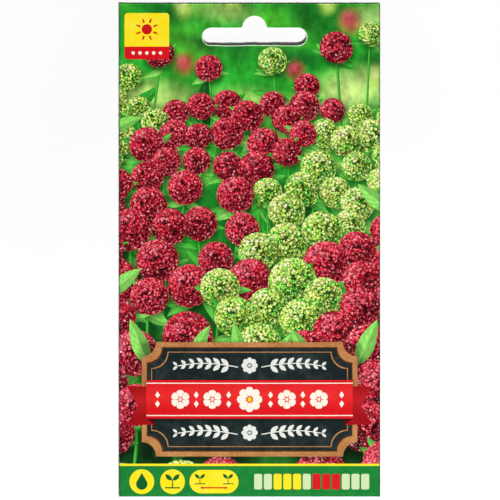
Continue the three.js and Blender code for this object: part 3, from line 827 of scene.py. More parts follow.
def make_sheet(name, domain, holes, shapes, surface, thickness, mats, edge_mat, inner_mat, grid, lines, tone_at, inner_lines=(), inner_step=3.0, shade=None, flip=False, base=C_BG):
    """Sheet of paper: printed outer face cut into its ink shapes, plain inner face, and the cut edge between them.

    surface(S) gives outer points and outward normals for flat sheet coordinates S, in mm."""
    co, tris, top = partition(domain, holes, shapes, grid, lines)
    used = np.unique(tris)
    remap = -np.ones(len(co), int)
    remap[used] = np.arange(len(used))
    co, tris = co[used], remap[tris]
    x0, y0 = co.min(0)
    x1, y1 = co.max(0)
    loops = boundary_loops(tris)
    loops = [lp for lp in loops if abs(loop_area(co[lp])) > 1e-3]
    outer = int(np.argmax([abs(loop_area(co[lp])) for lp in loops]))
    verts, faces, rim_ids = [], [], []
    for lp in loops:
        ids = lp if loop_area(co[lp]) > 0 else lp[::-1]
        start = len(verts)
        verts.extend(as_vectors(co[ids]))
        faces.append(list(range(start, start + len(ids))))
        rim_ids += ids
    rim_n = len(verts)
    edges = []
    for line, closed in inner_lines:
        start = len(verts)
        verts.extend(as_vectors(line))
        edges.extend((start + i, start + i + 1) for i in range(len(line) - 1))
        if closed:
            edges.append((start + len(line) - 1, start))
    verts.extend(as_vectors(grid_points(x0, x1, y0, y1, inner_step)))
    ic, _, itris, iorig, _, iface = delaunay_2d_cdt(verts, edges, faces, 1, 1e-5, True)
    ic = np.array([(c.x, c.y) for c in ic])
    source = [min((k for k in o if k < rim_n), default=-1) for o in iorig]
    inner_keep = [t for t, o in zip(itris, iface) if set(o) == {outer}]
    n_top = len(co)
    used_inner = sorted({v for t in inner_keep for v in t})
    imap = {v: n_top + k for k, v in enumerate(used_inner)}
    inner_of_rim = {rim_ids[source[v]]: imap[v] for v in used_inner if source[v] >= 0}
    icoords = np.array([co[rim_ids[source[v]]] if source[v] >= 0 else ic[v] for v in used_inner])
    P, N = surface(co)
    Pi, Ni = surface(icoords)
    points = np.concatenate([P, Pi - Ni * thickness])
    polys = [tuple(t) for t in tris.tolist()]
    slot_i = [shapes[k].kind if k >= 0 else base for k in top.tolist()]
    n_outer = len(polys)
    for t in inner_keep:
        a, b, c = (ic[v] for v in t)
        s = (b[0] - a[0]) * (c[1] - a[1]) - (b[1] - a[1]) * (c[0] - a[0])
        t = list(t) if s > 0 else list(t)[::-1]
        polys.append(tuple(imap[v] for v in reversed(t)))
        slot_i.append("inner")
    n_inner = len(polys)
    missing = 0
    for lp in loops:
        for i in range(len(lp)):
            a, b = lp[i], lp[(i + 1) % len(lp)]
            if a in inner_of_rim and b in inner_of_rim:
                polys.append((b, a, inner_of_rim[a], inner_of_rim[b]))
                slot_i.append("edge")
            else:
                missing += 1
    if flip:
        polys = [p[::-1] for p in polys]
    me = bpy.data.meshes.new(name)
    me.from_pydata([tuple(p * MM) for p in points], [], polys)
    index = {}
    for k in sorted({k for k in slot_i if not isinstance(k, str)}):
        index[k] = len(me.materials)
        me.materials.append(mats[k])
    for k, m in (("inner", inner_mat), ("edge", edge_mat)):
        index[k] = len(me.materials)
        me.materials.append(m)
    me.polygons.foreach_set("material_index", [index[k] for k in slot_i])
    nl = len(me.loops)
    lv = np.zeros(nl, int)
    me.loops.foreach_get("vertex_index", lv)
    sheet_xy = np.concatenate([co, icoords])
    loc, tone, hi, order = np.zeros((nl, 3)), np.ones((nl, 4)), np.ones((nl, 4)), np.zeros(nl)
    n_oc = 3 * n_outer
    corner_shape = np.repeat(top, 3)
    cv = lv[:n_oc]
    pts = sheet_xy[cv]
    sort = np.argsort(corner_shape, kind="stable")
    for grp in np.split(sort, np.flatnonzero(np.diff(corner_shape[sort])) + 1):
        if not len(grp):
            continue
        k = corner_shape[grp[0]]
        p = pts[grp]
        if k < 0:
            loc[grp, :2] = p
            tone[grp, :3] = tone_at(p)
            hi[grp, :3] = tone[grp, :3]
            order[grp] = -1
            continue
        s = shapes[k]
        q = s.loc(p)
        loc[grp, 0], loc[grp, 1], loc[grp, 2] = q[:, 0], q[:, 1], s.rnd
        if s.tonef:
            tone[grp, :3], hi[grp, :3] = s.tonef(p)
        else:
            tone[grp, :3], hi[grp, :3] = s.tone, s.hi
        order[grp] = s.order
    if shade:
        f = shade(pts, order[:n_oc])[:, None]
        tone[:n_oc, :3] *= f
        hi[:n_oc, :3] *= f
    at = me.attributes.new("loc", "FLOAT_VECTOR", "CORNER")
    at.data.foreach_set("vector", loc.astype(np.float32).ravel())
    for nm, v in (("tone", tone), ("hi", hi)):
        ca = me.color_attributes.new(nm, "FLOAT_COLOR", "CORNER")
        ca.data.foreach_set("color", v.astype(np.float32).ravel())
    # flat map: printed face on the left, cut edge and inner face on the right
    uv = np.zeros((nl, 2))
    rel = (sheet_xy - [x0, y0]) / [x1 - x0, y1 - y0]
    if flip:
        rel[:, 0] = 1 - rel[:, 0]
    uv[:n_oc] = np.stack([0.004 + 0.80 * rel[cv][:, 0], 0.004 + 0.992 * rel[cv][:, 1]], 1)
    n_ic = 3 * (n_inner - n_outer)
    iv = lv[n_oc:n_oc + n_ic]
    uv[n_oc:n_oc + n_ic] = np.stack([0.995 - 0.165 * rel[iv][:, 0], 0.004 + 0.992 * rel[iv][:, 1]], 1)
    m = (nl - n_oc - n_ic) // 4
    if m:
        k = np.arange(m)
        lo, up = 0.004 + 0.992 * k / m, 0.004 + 0.992 * (k + 1) / m
        quad = np.zeros((m, 4, 2))
        quad[:, 0], quad[:, 1] = np.stack([np.full(m, 0.809), up], 1), np.stack([np.full(m, 0.809), lo], 1)
        quad[:, 2], quad[:, 3] = np.stack([np.full(m, 0.825), lo], 1), np.stack([np.full(m, 0.825), up], 1)
        if flip:
            quad = quad[:, ::-1]
        uv[n_oc + n_ic:] = quad.reshape(-1, 2)
    layer = me.uv_layers.new(name="OFBake")
    layer.data.foreach_set("uv", uv.astype(np.float32).ravel())
    # smooth faces with the surface's own normals, sharp at the cut edge
    me.polygons.foreach_set("use_smooth", [True] * len(polys))
    ed = np.zeros(len(me.edges) * 2, int)
    me.edges.foreach_get("vertices", ed)
    ed = ed.reshape(-1, 2)
    rim, rim_in = np.zeros(len(points), bool), np.zeros(len(points), bool)
    rim[list(inner_of_rim)] = True
    rim_in[list(inner_of_rim.values())] = True
    sa = me.attributes.new("sharp_edge", "BOOLEAN", "EDGE")
    sa.data.foreach_set("value", (rim[ed[:, 0]] & rim[ed[:, 1]]) | (rim_in[ed[:, 0]] & rim_in[ed[:, 1]]))
    me.update()
    flat = np.zeros(len(polys) * 3)
    me.polygons.foreach_get("normal", flat)
    flat = flat.reshape(-1, 3)
    normals = np.concatenate([N[cv], -np.concatenate([N, Ni])[iv], np.repeat(flat[n_inner:], 4, 0)])
    me.normals_split_custom_set([tuple(v) for v in normals.tolist()])
    ob = bpy.data.objects.new(name, me)
    bpy.context.scene.collection.objects.link(ob)
    print(name, "outer", n_outer, "inner", n_inner - n_outer, "rim", len(polys) - n_inner, "open", missing, "loops", len(loops))
    return ob


# ------------------------------------------------------------------ ink and paper materials
def petal_material():
    m = Mat("ink_petal")
    u, v, seed = m.sep(m.attr("loc", "Vector"))
    tone, hi = m.attr("tone"), m.attr("hi")
    au = m.math("ABSOLUTE", u)
    shade = m.range(v, 0.0, 0.66, 0.10, 1.0)
    fold = m.mul(m.range(au, 0.0, 0.40, 0.34, 0.0), m.range(v, 0.15, 0.98, 1.0, 0.3))
    rim = m.math("SQRT", m.add(m.mul(m.mul(u, u), 0.86), m.math("POWER", m.mul(m.math("MAXIMUM", m.sub(v, 0.48), 0.0), 1.82), 2.0)))
    glow = m.mul(m.range(rim, 0.66, 1.0), m.range(v, 0.25, 0.62))
    n = m.noise(m.comb(m.mul(u, 3.4), m.mul(v, 0.9), m.mul(seed, 57.0)), 2.2, 2.0, 0.6)
    col = m.mix(m.mul(glow, 0.9), tone, hi)
    col = m.scale(col, m.mul(m.sub(shade, fold), m.range(n, 0.25, 0.75, 0.70, 1.30, "LINEAR")))
    # pale fleck at the tip of some petals
    pick = m.math("FRACT", m.mul(seed, 7.31))
    du = m.mul(m.add(u, m.mul(m.sub(pick, 0.5), 0.9)), 1.25)
    dv = m.mul(m.sub(v, m.range(pick, 0.0, 1.0, 0.66, 0.90, "LINEAR")), 2.0)
    fleck = m.range(m.math("SQRT", m.add(m.mul(du, du), m.mul(dv, dv))), 0.06, m.range(seed, 0.5, 1.0, 0.34, 0.62, "LINEAR"), 1.0, 0.0)
    fleck = m.mul(fleck, m.range(seed, 0.50, 0.95, 0.0, 0.80, "LINEAR"))
    col = m.mix(fleck, col, m.mix(0.42, hi, (1.0, 0.96, 0.86)))
    # fine papillae, brighter at their tips and dark between
    pos = m.position()
    tip = m.range(m.voronoi(pos, 1.45), 0.12, 0.66, 1.0, 0.0)
    lift = m.range(m.noise(m.mapping(pos, (1, 1, 1), (3, 5, 0)), 1.3, 1.0, 0.5), 0.3, 0.7, 0.0, 1.0, "LINEAR")
    col = m.scale(col, m.range(tip, 0.0, 0.8, 0.60, 2.25, "LINEAR"))
    col = m.mix(m.mul(m.range(tip, 0.45, 0.95, 0.0, 0.85), m.range(lift, 0.25, 0.9)), col, m.mix(0.25, hi, (1.0, 0.90, 0.84)))
    col = m.mix(1.0, col, (0.93, 0.93, 0.90), "DARKEN")
    print_finish(m, col)
    return m.m


def leaf_material():
    m = Mat("ink_leaf")
    u, v, seed = m.sep(m.attr("loc", "Vector"))
    tone, hi = m.attr("tone"), m.attr("hi")
    au = m.math("ABSOLUTE", u)
    rib = m.range(au, 0.02, 0.11, 1.0, 0.0)
    ph = m.math("FRACT", m.add(m.mul(v, 6.0), m.add(m.mul(au, -1.4), 10.0)))
    off = m.math("ABSOLUTE", m.sub(ph, 0.5))
    vein = m.mul(m.range(off, 0.03, 0.18, 1.0, 0.0), m.range(au, 0.75, 0.98, 1.0, 0.0))
    half = m.range(u, -0.06, 0.06, 0.72, 1.12)
    n = m.noise(m.comb(m.mul(u, 1.6), m.mul(v, 4.0), m.mul(seed, 31.0)), 1.6, 3.0, 0.6)
    f = m.mul(m.mul(half, m.range(off, 0.0, 0.5, 0.82, 1.10)), m.range(n, 0.25, 0.75, 0.72, 1.26, "LINEAR"))
    f = m.mul(f, m.range(v, 0.0, 0.4, 0.45, 1.0))
    col = m.mix(m.math("ADD", m.mul(rib, 0.8), m.mul(vein, 0.42), None, True), m.scale(tone, f), hi)
    print_finish(m, col)
    return m.m


def stem_material():
    m = Mat("ink_stem")
    u, v, seed = m.sep(m.attr("loc", "Vector"))
    col = m.mix(m.range(m.math("ABSOLUTE", m.add(u, 0.35)), 0.0, 0.5, 0.8, 0.0), m.attr("tone"), m.attr("hi"))
    print_finish(m, m.scale(col, m.range(u, 0.2, 1.0, 1.0, 0.35)))
    return m.m


def garden_material(name="ink_background", lift=1.0):
    m = Mat(name)
    pos = m.position()
    n = m.noise(pos, 0.20, 3.0, 0.55)
    n2 = m.noise(m.mapping(pos, (1, 0.45, 1)), 0.65, 2.0, 0.5)
    f = m.mul(m.range(n, 0.3, 0.7, 0.72 * lift, 1.28 * lift), m.range(n2, 0.3, 0.7, 0.88, 1.13))
    print_finish(m, m.scale(m.attr("tone"), f), 0.035)
    return m.m


def slate_material():
    m = Mat("ink_slate")
    pos = m.position()
    n = m.noise(pos, 0.18, 5.0, 0.7, 0.6)
    n2 = m.noise(m.mapping(pos, (1, 4.5, 1), (0, 0, 0), (0, 0, 0.5)), 0.5, 4.0, 0.7)
    f = m.add(m.mul(m.range(n, 0.42, 0.75), 0.50), m.mul(m.range(n2, 0.55, 0.8), 0.30))
    print_finish(m, m.mix(f, m.attr("tone"), m.attr("hi")))
    return m.m


def kraft_material():
    m = Mat("ink_kraft")
    pos = m.position()
    n = m.noise(m.mapping(pos, (1.0, 2.0, 1), (0, 0, 0), (0, 0, 0.4)), 1.4, 4.0, 0.75)
    n2 = m.noise(pos, 0.15, 2.0, 0.5)
    print_finish(m, m.mix(m.add(m.mul(m.range(n, 0.40, 0.70), 0.6), m.mul(m.range(n2, 0.3, 0.7), 0.4)), m.attr("tone"), m.attr("hi")))
    return m.m


def ribbon_material():
    m = Mat("ink_ribbon")
    u, v, _ = m.sep(m.attr("loc", "Vector"))
    n = m.noise(m.mapping(m.position(), (0.35, 1.0, 1)), 0.5, 3.0, 0.6)
    sheen = m.mul(m.range(m.math("ABSOLUTE", m.sub(v, 0.25)), 0.0, 0.9, 0.85, 0.0), m.range(n, 0.3, 0.7, 0.5, 1.0))
    print_finish(m, m.mix(sheen, m.attr("tone"), m.attr("hi")), 0.04)
    return m.m


def flat_ink(name, chalk=False):
    m = Mat(name)
    col = m.attr("tone")
    if chalk:
        n = m.noise(m.position(), 2.6, 4.0, 0.7)
        col = m.scale(col, m.range(n, 0.35, 0.6, 0.84, 1.0))
    else:
        n = m.noise(m.position(), 0.4, 2.0, 0.6)
        col = m.mix(m.range(n, 0.35, 0.7, 0.0, 0.3), col, m.attr("hi"))
    print_finish(m, col, 0.04)
    return m.m


def paper_material(name, tint=(0.86, 0.85, 0.82), rough=0.85):
    m = Mat(name, rough, 0.2)
    pos = m.position()
    n = m.noise(pos, 0.9, 5.0, 0.7)
    n2 = m.noise(m.mapping(pos, (1, 3, 1)), 3.0, 4.0, 0.7)
    m.color(m.scale(m.mix(m.range(n, 0.3, 0.7, 0, 1), tint, tuple(c * 0.96 for c in tint)), m.range(n2, 0.2, 0.8, 0.96, 1.03, "LINEAR")))
    m.bump(n2, 0.35, 0.00006)
    m.rough(m.range(n, 0.3, 0.7, rough - 0.06, rough + 0.05, "LINEAR"))
    return m.m


def lip_material():
    """ink worn thin by the punch with the white paper showing through, lightened further as a painted highlight on the
    burr
    """
    m = Mat("paper_worn_lip_painted_highlight", 0.8, 0.2)
    pos = m.position()
    n = m.noise(pos, 0.7, 4.0, 0.6)
    n2 = m.noise(m.mapping(pos, (1, 3, 1)), 3.0, 4.0, 0.7)
    m.color(m.scale(m.mix(m.range(n, 0.36, 0.64), (0.42, 0.84, 0.36), (0.82, 0.95, 0.78)), m.range(n2, 0.2, 0.8, 0.94, 1.04, "LINEAR")))
    m.bump(n2, 0.35, 0.00006)
    m.rough(m.range(n, 0.3, 0.7, 0.6, 0.8, "LINEAR"))
    return m.m


# painted shade: the cut edges are coloured grey, darker than the white paper faces, to stand for the shade on them
shaded_cut_paper = paper_material("paper_cut_edge_painted_shade", (0.56, 0.55, 0.52), 0.9)
lip_paper = lip_material()
inner_paper = paper_material("paper_inside")
garden_ink, red_ink, yellow_ink = garden_material(), ribbon_material(), flat_ink("ink_yellow")
inks = {
    C_BG: garden_ink, C_PETAL: petal_material(), C_LEAF: leaf_material(), C_STEM: stem_material(), C_CORE: flat_ink("ink_core"),
    C_SLATE: slate_material(), C_KRAFT: kraft_material(), C_RED: red_ink, C_CHALK: flat_ink("ink_chalk", True),
    C_YEL: yellow_ink, C_BAND: flat_ink("ink_band"), C_ICON: flat_ink("ink_icon"), C_LIP: lip_paper, C_PALE: flat_ink("ink_pale"),
}


# ------------------------------------------------------------------ shape of the folded sheet
def pillow(q):
    u = q[:, 0] / POCKET_HALF_W
    v = (q[:, 1] - (POCKET_Y0 + POCKET_Y1) / 2) / ((POCKET_Y1 - POCKET_Y0) / 2)
    a, b = np.clip(1 - u * u, 0, 1), np.clip(1 - v * v, 0, 1)
    x, y = q[:, 0], q[:, 1]
    wave = (np.sin(x * 0.21 + 0.6 * np.sin(y * 0.09)) * np.cos(y * 0.12 + 0.8) * 0.5
            + np.sin(x * 0.11 - y * 0.16 + 1.3) * 0.4 + np.sin(x * 0.33 + y * 0.07 + 2.0) * 0.22)
    edge = np.minimum(HH - np.abs(y), HW - x)
    keep = smooth(-HW + 0.1, -HW + 2.5, x)
    return PILLOW * (a * b) ** 1.35 + 0.07 * (a * b) ** 0.8 * wave - 0.15 * keep * np.exp(-np.maximum(edge - FOLD_R, 0) / 0.9)


def roll(S, x0, x1, y0, y1, r, height, up=1.0):
    """Sheet coordinates to the folded surface: flat inside the rectangle, then rolled over radius r."""
    q = np.stack([np.clip(S[:, 0], x0, x1), np.clip(S[:, 1], y0, y1)], 1)
    d = S - q
    e = np.hypot(d[:, 0], d[:, 1])
    dirn = np.where(e[:, None] > 1e-9, d / np.maximum(e, 1e-9)[:, None], 0)
    ph = np.minimum(e / r, math.pi / 2)
    drop = r * (1 - np.cos(ph)) + np.maximum(e - r * math.pi / 2, 0)
    eps = 0.05
    h = height(q)
    hx = (height(q + [eps, 0]) - height(q - [eps, 0])) / (2 * eps)
    hy = (height(q + [0, eps]) - height(q - [0, eps])) / (2 * eps)
    n = np.stack([-hx * up, -hy * up, np.full(len(S), up)], 1)
    n /= np.linalg.norm(n, axis=1)[:, None]
    n = n * np.cos(ph)[:, None] + np.concatenate([dirn, np.zeros((len(S), 1))], 1) * np.sin(ph)[:, None]
    return np.concatenate([q + dirn * (r * np.sin(ph))[:, None], (h - up * drop)[:, None]], 1), n


slot_line = slot_outline()


def slot_distance(q):
    near = (np.abs(q[:, 0] - SLOT_X) < 20) & (np.abs(q[:, 1] - 66.5) < 8)
    out = np.full(len(q), 9.0)
    if near.any():
        a, b = slot_line, np.roll(slot_line, -1, 0)
        ab = b - a
        p = q[near][:, None, :]
        t = np.clip(((p - a) * ab).sum(2) / (ab * ab).sum(1), 0, 1)
        out[near] = np.sqrt((((a + t[:, :, None] * ab) - p) ** 2).sum(2)).min(1)
    return out


FAR = 1e4
quarter = FOLD_R * math.pi / 2
E_RIGHT, E_LEFT, E_END = quarter + 0.005, quarter + 0.125, quarter + 0.005
AX, AY = HW - FOLD_R, HH - FOLD_R


def front_surface(S):
    P, N = roll(S, -AX, AX, -AY, AY, FOLD_R, lambda q: Z_TOP + pillow(q))
    # the punch leaves a faint raised burr round the slot, uneven along its lower edge
    d = slot_distance(S)
    low = smooth(66.0, 63.2, S[:, 1])
    x = S[:, 0]
    knock = np.exp(-((x + 10.7) / 1.9) ** 2)
    uneven = 0.74 + 0.26 * np.sin(x * 0.55 + 1.0) * np.sin(x * 0.23 + 0.4) + 0.41 * smooth(3.0, 10.0, x) * smooth(17.6, 14.5, x) + 0.12 * knock
    P[:, 2] += (0.01 + 0.47 * low * uneven) * smooth(0.95, 0.0, d)
    # and it leans a little into the slot in two places
    lean = 0.16 * knock + 0.13 * smooth(-3.4, -0.8, x) * smooth(10.2, 8.2, x)
    P[:, 1] += low * lean * smooth(0.9, 0.0, d)
    return P, N


def back_surface(S):
    return roll(S, -FAR, AX, -FAR, FAR, FOLD_R, lambda q: np.full(len(q), 0.16), -1.0)


def top_flap_surface(S):
    return roll(S, -FAR, FAR, -FAR, AY, FOLD_R, lambda q: np.zeros(len(q)), -1.0)


def bottom_flap_surface(S):
    return roll(S, -FAR, FAR, -AY, FAR, FOLD_R, lambda q: np.zeros(len(q)), -1.0)


def front_domain():
    pts, n = [], 6
    for sx, sy, a0 in ((1, 1, 0), (-1, 1, 90), (-1, -1, 180), (1, -1, 270)):
        for i in range(n + 1):
            a = math.radians(a0 + 90 * i / n)
            side = E_RIGHT if sx > 0 else E_LEFT
            e = side + (E_END - side) * abs(math.sin(a))
            pts.append((sx * AX + e * math.cos(a), sy * AY + e * math.sin(a)))
    return dense(pts)


def crease_loop(e, step):
    pts = []
    for sx, sy, a0 in ((1, 1, 0), (-1, 1, 90), (-1, -1, 180), (1, -1, 270)):
        n = 4 if e > 0 else 0
        for i in range(n + 1):
            a = math.radians(a0 + 90 * i / max(n, 1))
            pts.append((sx * AX + e * math.cos(a), sy * AY + e * math.sin(a)))
    return dense(pts, step), True


def shade_print(p, order):
    """soft shadow that nearer blooms and the panel throw on what lies behind them"""
    f = np.ones(len(p))
    for x, y, R, o in HEADS:
        near = np.flatnonzero((np.abs(p[:, 0] - x) < 1.5 * R) & (np.abs(p[:, 1] - y) < 1.6 * R) & (order < o - 0.2))
        if len(near):
            d = np.hypot(p[near, 0] - x - 0.10 * R, p[near, 1] - y + 0.16 * R) / R
            f[near] *= 1 - 0.66 * (1 - smooth(0.86, 1.32, d))
    dx = np.maximum(np.abs(p[:, 0] - 0.5) - PX, 0)
    dy = np.maximum(np.abs(p[:, 1] - PY + 0.6) - (PY1 - PY0) / 2, 0)
    f = np.where(order < PORD - 0.001, f * (1 - 0.6 * (1 - smooth(0.0, 1.6, np.hypot(dx, dy)))), f)
    dx = np.maximum(np.abs(p[:, 0]) - 31.6, 0)
    dy = np.maximum(np.abs(p[:, 1] - PY + 0.4) - 5.9, 0)
    f = np.where((order >= PORD) & (order < PORD + 0.45), f * (1 - 0.45 * (1 - smooth(0.0, 0.9, np.hypot(dx, dy)))), f)
    return np.clip(f, 0.10, 1)


# painted highlight: the pale worn ring round the slot is set wider on its lower and right edges, where the burr faces
# the key light
lip = Motif(slot_outline(0.19, 0.05, -0.04), C_LIP, flat_loc(0, 0), (0.9, 0.9, 0.88), None, 900)
front_dom = front_domain()
front_grid = grid_points(-HW, HW, -HH, 30, 1.5) + grid_points(-HW, HW, 30, HH, 1.05)
slot_rings = [(slot_outline(g), True) for g in (0.32, 0.62, 1.05)]
front_lines = [crease_loop(quarter * k, 2.0) for k in (0.0, 0.25, 0.5, 0.75)] + slot_rings
front_inner = [crease_loop(quarter * k, 4.0) for k in (0.0, 0.5)] + slot_rings
front = make_sheet("printed_front", front_dom, [slot_line], motifs + [lip], front_surface, PAPER, inks, shaded_cut_paper, inner_paper,
                   front_grid, front_lines, background, front_inner, 3.0, shade_print)

# ------------------------------------------------------------------ back and flaps
vline = lambda x, y0, y1, step: ([(x, y0 + (y1 - y0) * i / round((y1 - y0) / step)) for i in range(round((y1 - y0) / step) + 1)], False)
hline = lambda y, x0, x1, step: ([(x0 + (x1 - x0) * i / round((x1 - x0) / step), y) for i in range(round((x1 - x0) / step) + 1)], False)
BX0, BX1, BY = -39.55, AX + quarter, 75.33
back_dom = dense([(BX0, -BY), (BX1, -BY), (BX1, BY), (BX0, BY)], 3.0)
back = make_sheet("printed_back", back_dom, [slot_line], back_shapes, back_surface, PAPER, inks, shaded_cut_paper, inner_paper,
                  grid_points(BX0, AX, -BY, BY, 3.0), [vline(AX + quarter * k, -BY, BY, 3.0) for k in (0, 0.33, 0.66)],
                  back_tone, [vline(AX + quarter * k, -BY + 0.5, BY - 0.5, 4.0) for k in (0, 0.5)], 4.0, None, True, C_PALE)

ty0 = HH - 22.0
E_FLAP = quarter + 0.145
top_dom = dense([(-37.0, ty0), (37.0, ty0), (39.4, AY), (39.4, AY + E_FLAP), (-39.4, AY + E_FLAP), (-39.4, AY)], 2.5)
top_flap = make_sheet("printed_top_flap", top_dom, [slot_line], [], top_flap_surface, PAPER, inks, shaded_cut_paper, inner_paper,
                      grid_points(-39, 39, ty0, AY, 1.5), [hline(AY + quarter * k, -39.4, 39.4, 3.0) for k in (0, 0.33, 0.66, 1)],
                      lambda p: background(np.stack([p[:, 0], 151.0 - p[:, 1]], 1)), [hline(AY + quarter * k, -38.9, 38.9, 4.0) for k in (0, 0.5)], 4.0, None, True)

by1 = -HH + 14.0
bottom_dom = dense([(-39.4, -AY - E_FLAP), (39.4, -AY - E_FLAP), (39.4, -AY), (37.0, by1), (-37.0, by1), (-39.4, -AY)], 2.5)
bottom_shapes = [shape([(-42, by1 - 3.2), (42, by1 - 3.2), (42, by1 - 2.6), (-42, by1 - 2.6)], C_YEL, YEL, 2, YEL_HI)]
bottom_flap = make_sheet("printed_bottom_flap", bottom_dom, [], bottom_shapes, bottom_flap_surface, PAPER, inks, shaded_cut_paper, inner_paper,
                         grid_points(-39, 39, -AY, by1, 2.0), [hline(-AY - quarter * k, -39.4, 39.4, 3.0) for k in (0, 0.33, 0.66, 1)],
                         lambda p: np.tile(arr(srgb(14, 92, 40)), (len(p), 1)), [hline(-AY - quarter * k, -38.9, 38.9, 4.0) for k in (0, 0.5)], 4.0, None, True)

for piece, node, slot in ((front, "front_panel", "front_print"), (back, "back_panel", "back_print"),
                          (top_flap, "top_flap", "flap_print"), (bottom_flap, "bottom_flap", "flap_print")):
    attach(piece, "root")
    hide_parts(node)


# ------------------------------------------------------------------ sachet and seed
SX0, SX1, SY0, SY1, SEAL, WEB = -26.0, 30.0, -66.0, 20.0, 5.0, 0.04


def sachet_top(x, y):
    hw, hh = (SX1 - SX0) / 2 - SEAL, (SY1 - SY0) / 2 - SEAL
    u, v = (x - (SX0 + SX1) / 2) / hw, (y - (SY0 + SY1) / 2) / hh
    a, b = np.clip(1 - u * u, 0, 1), np.clip(1 - v * v, 0, 1)
    return 0.375 + 1.12 * (a * b) ** 0.9 * (1 - 0.25 * v) / 1.1


def web_mesh(name, upper, mat):
    """one web of the sachet: crimped seal margins, pinked ends, fine creases over the filling"""
    nx, ny = 84, 128
    xs, ys = np.linspace(SX0, SX1, nx + 1), np.linspace(SY0, SY1, ny + 1)
    X, Y = np.meshgrid(xs, ys, indexing="ij")
    # pinked top and bottom ends, one tooth to every two columns
    tooth = np.arange(nx + 1) % 2 == 0
    Y = Y.copy()
    Y[:, 0] += 0.5 * tooth
    Y[:, -1] -= 0.5 * tooth
    edge = np.minimum(np.minimum(X - SX0, SX1 - X), np.minimum(Y - SY0, SY1 - Y))
    crimp = np.clip((SEAL - edge) / 0.6, 0, 1) * (1 + np.sin((X + Y) * 2 * math.pi / 2.67)) * 0.5
    if upper:
        z = sachet_top(X, Y) - WEB
        lift = np.clip((z - 0.335) / 0.5, 0, 1)
        z = z + 0.035 * lift * (np.sin(X * 0.9 + 2 * np.sin(Y * 0.21)) * np.sin(Y * 0.37 + 1.1) + 0.5 * np.sin(X * 0.4 - Y * 1.1))
        z = z + 0.016 * crimp
    else:
        z = np.full_like(X, 0.285) + 0.016 * crimp
    verts, faces = [], []
    for layer in (0, 1):
        verts += [(x * MM, y * MM, (h + WEB * layer) * MM) for x, y, h in zip(X.ravel(), Y.ravel(), z.ravel())]
    n = (nx + 1) * (ny + 1)
    vid = lambda i, j, k: k * n + i * (ny + 1) + j
    for i in range(nx):
        for j in range(ny):
            faces.append((vid(i, j, 1), vid(i + 1, j, 1), vid(i + 1, j + 1, 1), vid(i, j + 1, 1)))
            faces.append((vid(i, j, 0), vid(i, j + 1, 0), vid(i + 1, j + 1, 0), vid(i + 1, j, 0)))
    for i in range(nx):
        faces.append((vid(i, 0, 0), vid(i + 1, 0, 0), vid(i + 1, 0, 1), vid(i, 0, 1)))
        faces.append((vid(i + 1, ny, 0), vid(i, ny, 0), vid(i, ny, 1), vid(i + 1, ny, 1)))
    for j in range(ny):
        faces.append((vid(0, j + 1, 0), vid(0, j, 0), vid(0, j, 1), vid(0, j + 1, 1)))
        faces.append((vid(nx, j, 0), vid(nx, j + 1, 0), vid(nx, j + 1, 1), vid(nx, j, 1)))
    me = bpy.data.meshes.new(name)
    me.from_pydata(verts, [], faces)
    me.polygons.foreach_set("use_smooth", [k < 2 * nx * ny for k in range(len(faces))])
    me.materials.append(mat)
    uv = np.zeros((len(me.loops), 2))
    lv = np.zeros(len(me.loops), int)
    me.loops.foreach_get("vertex_index", lv)
    x, y = (X.ravel()[lv % n] - SX0) / (SX1 - SX0), (Y.ravel()[lv % n] - SY0) / (SY1 - SY0)
    topface = np.zeros(len(me.loops), bool)
    topface[:2 * nx * ny * 4] = np.repeat(np.arange(2 * nx * ny) % 2 == 0, 4)
    uv[:, 0] = np.where(topface, 0.004 + 0.485 * x, 0.996 - 0.485 * x)
    uv[:, 1] = 0.004 + 0.992 * y
    side = np.arange(2 * nx * ny * 4, len(me.loops))
    m = len(side) // 4
    k = np.arange(m) / m
    strip_uv = np.zeros((m, 4, 2))
    strip_uv[:, 0], strip_uv[:, 1] = np.stack([np.full(m, 0.494), 0.004 + 0.992 * k], 1), np.stack([np.full(m, 0.506), 0.004 + 0.992 * k], 1)
    strip_uv[:, 2], strip_uv[:, 3] = np.stack([np.full(m, 0.506), 0.004 + 0.992 * (k + 1 / m)], 1), np.stack([np.full(m, 0.494), 0.004 + 0.992 * (k + 1 / m)], 1)
    uv[side] = strip_uv.reshape(-1, 2)
    me.uv_layers.new(name="OFBake").data.foreach_set("uv", uv.astype(np.float32).ravel())
    ob = bpy.data.objects.new(name, me)
    bpy.context.scene.collection.objects.link(ob)
    return ob


def glassine_material():
    m = Mat("glassine", 0.34, 0.35)
    pos = m.position()
    n = m.noise(pos, 0.35, 5.0, 0.65, 0.8)
    n2 = m.noise(m.mapping(pos, (1, 0.3, 1)), 2.2, 3.0, 0.6)
    m.color(m.mix(m.range(n, 0.3, 0.7), (0.80, 0.78, 0.71), (0.87, 0.85, 0.79)))
    m.rough(m.range(n2, 0.3, 0.7, 0.28, 0.42, "LINEAR"))
    m.bump(m.add(m.mul(n, 0.7), m.mul(n2, 0.3)), 0.4, 0.00008)
    return m.m


def glue_material():
    m = Mat("dried_glue", 0.3, 0.4)
    pos = m.position()
    n = m.noise(m.mapping(pos, (1, 0.35, 1)), 0.7, 4.0, 0.6, 1.2)
    m.color(m.mix(m.range(n, 0.3, 0.7), (0.72, 0.66, 0.50), (0.82, 0.77, 0.64)))
    m.rough(m.range(n, 0.3, 0.7, 0.22, 0.42, "LINEAR"))
    m.bump(n, 0.5, 0.00005)
    return m.m


def seed_material():
    m = Mat("seed_coat", 0.3, 0.5, 0.25, 0.2)
    v, _, _ = m.sep(m.attr("loc", "Vector"))
    n = m.noise(m.position(), 5.0, 3.0, 0.6)
    col = m.ramp(v, [(0.0, srgb(30, 12, 12)), (0.45, srgb(58, 18, 20)), (0.8, srgb(92, 34, 26)), (1.0, srgb(150, 96, 52))])
    m.color(m.scale(col, m.range(n, 0.3, 0.7, 0.75, 1.2)))
    m.rough(m.range(n, 0.3, 0.7, 0.24, 0.40, "LINEAR"))
    m.bump(n, 0.25, 0.00003)
    return m.m


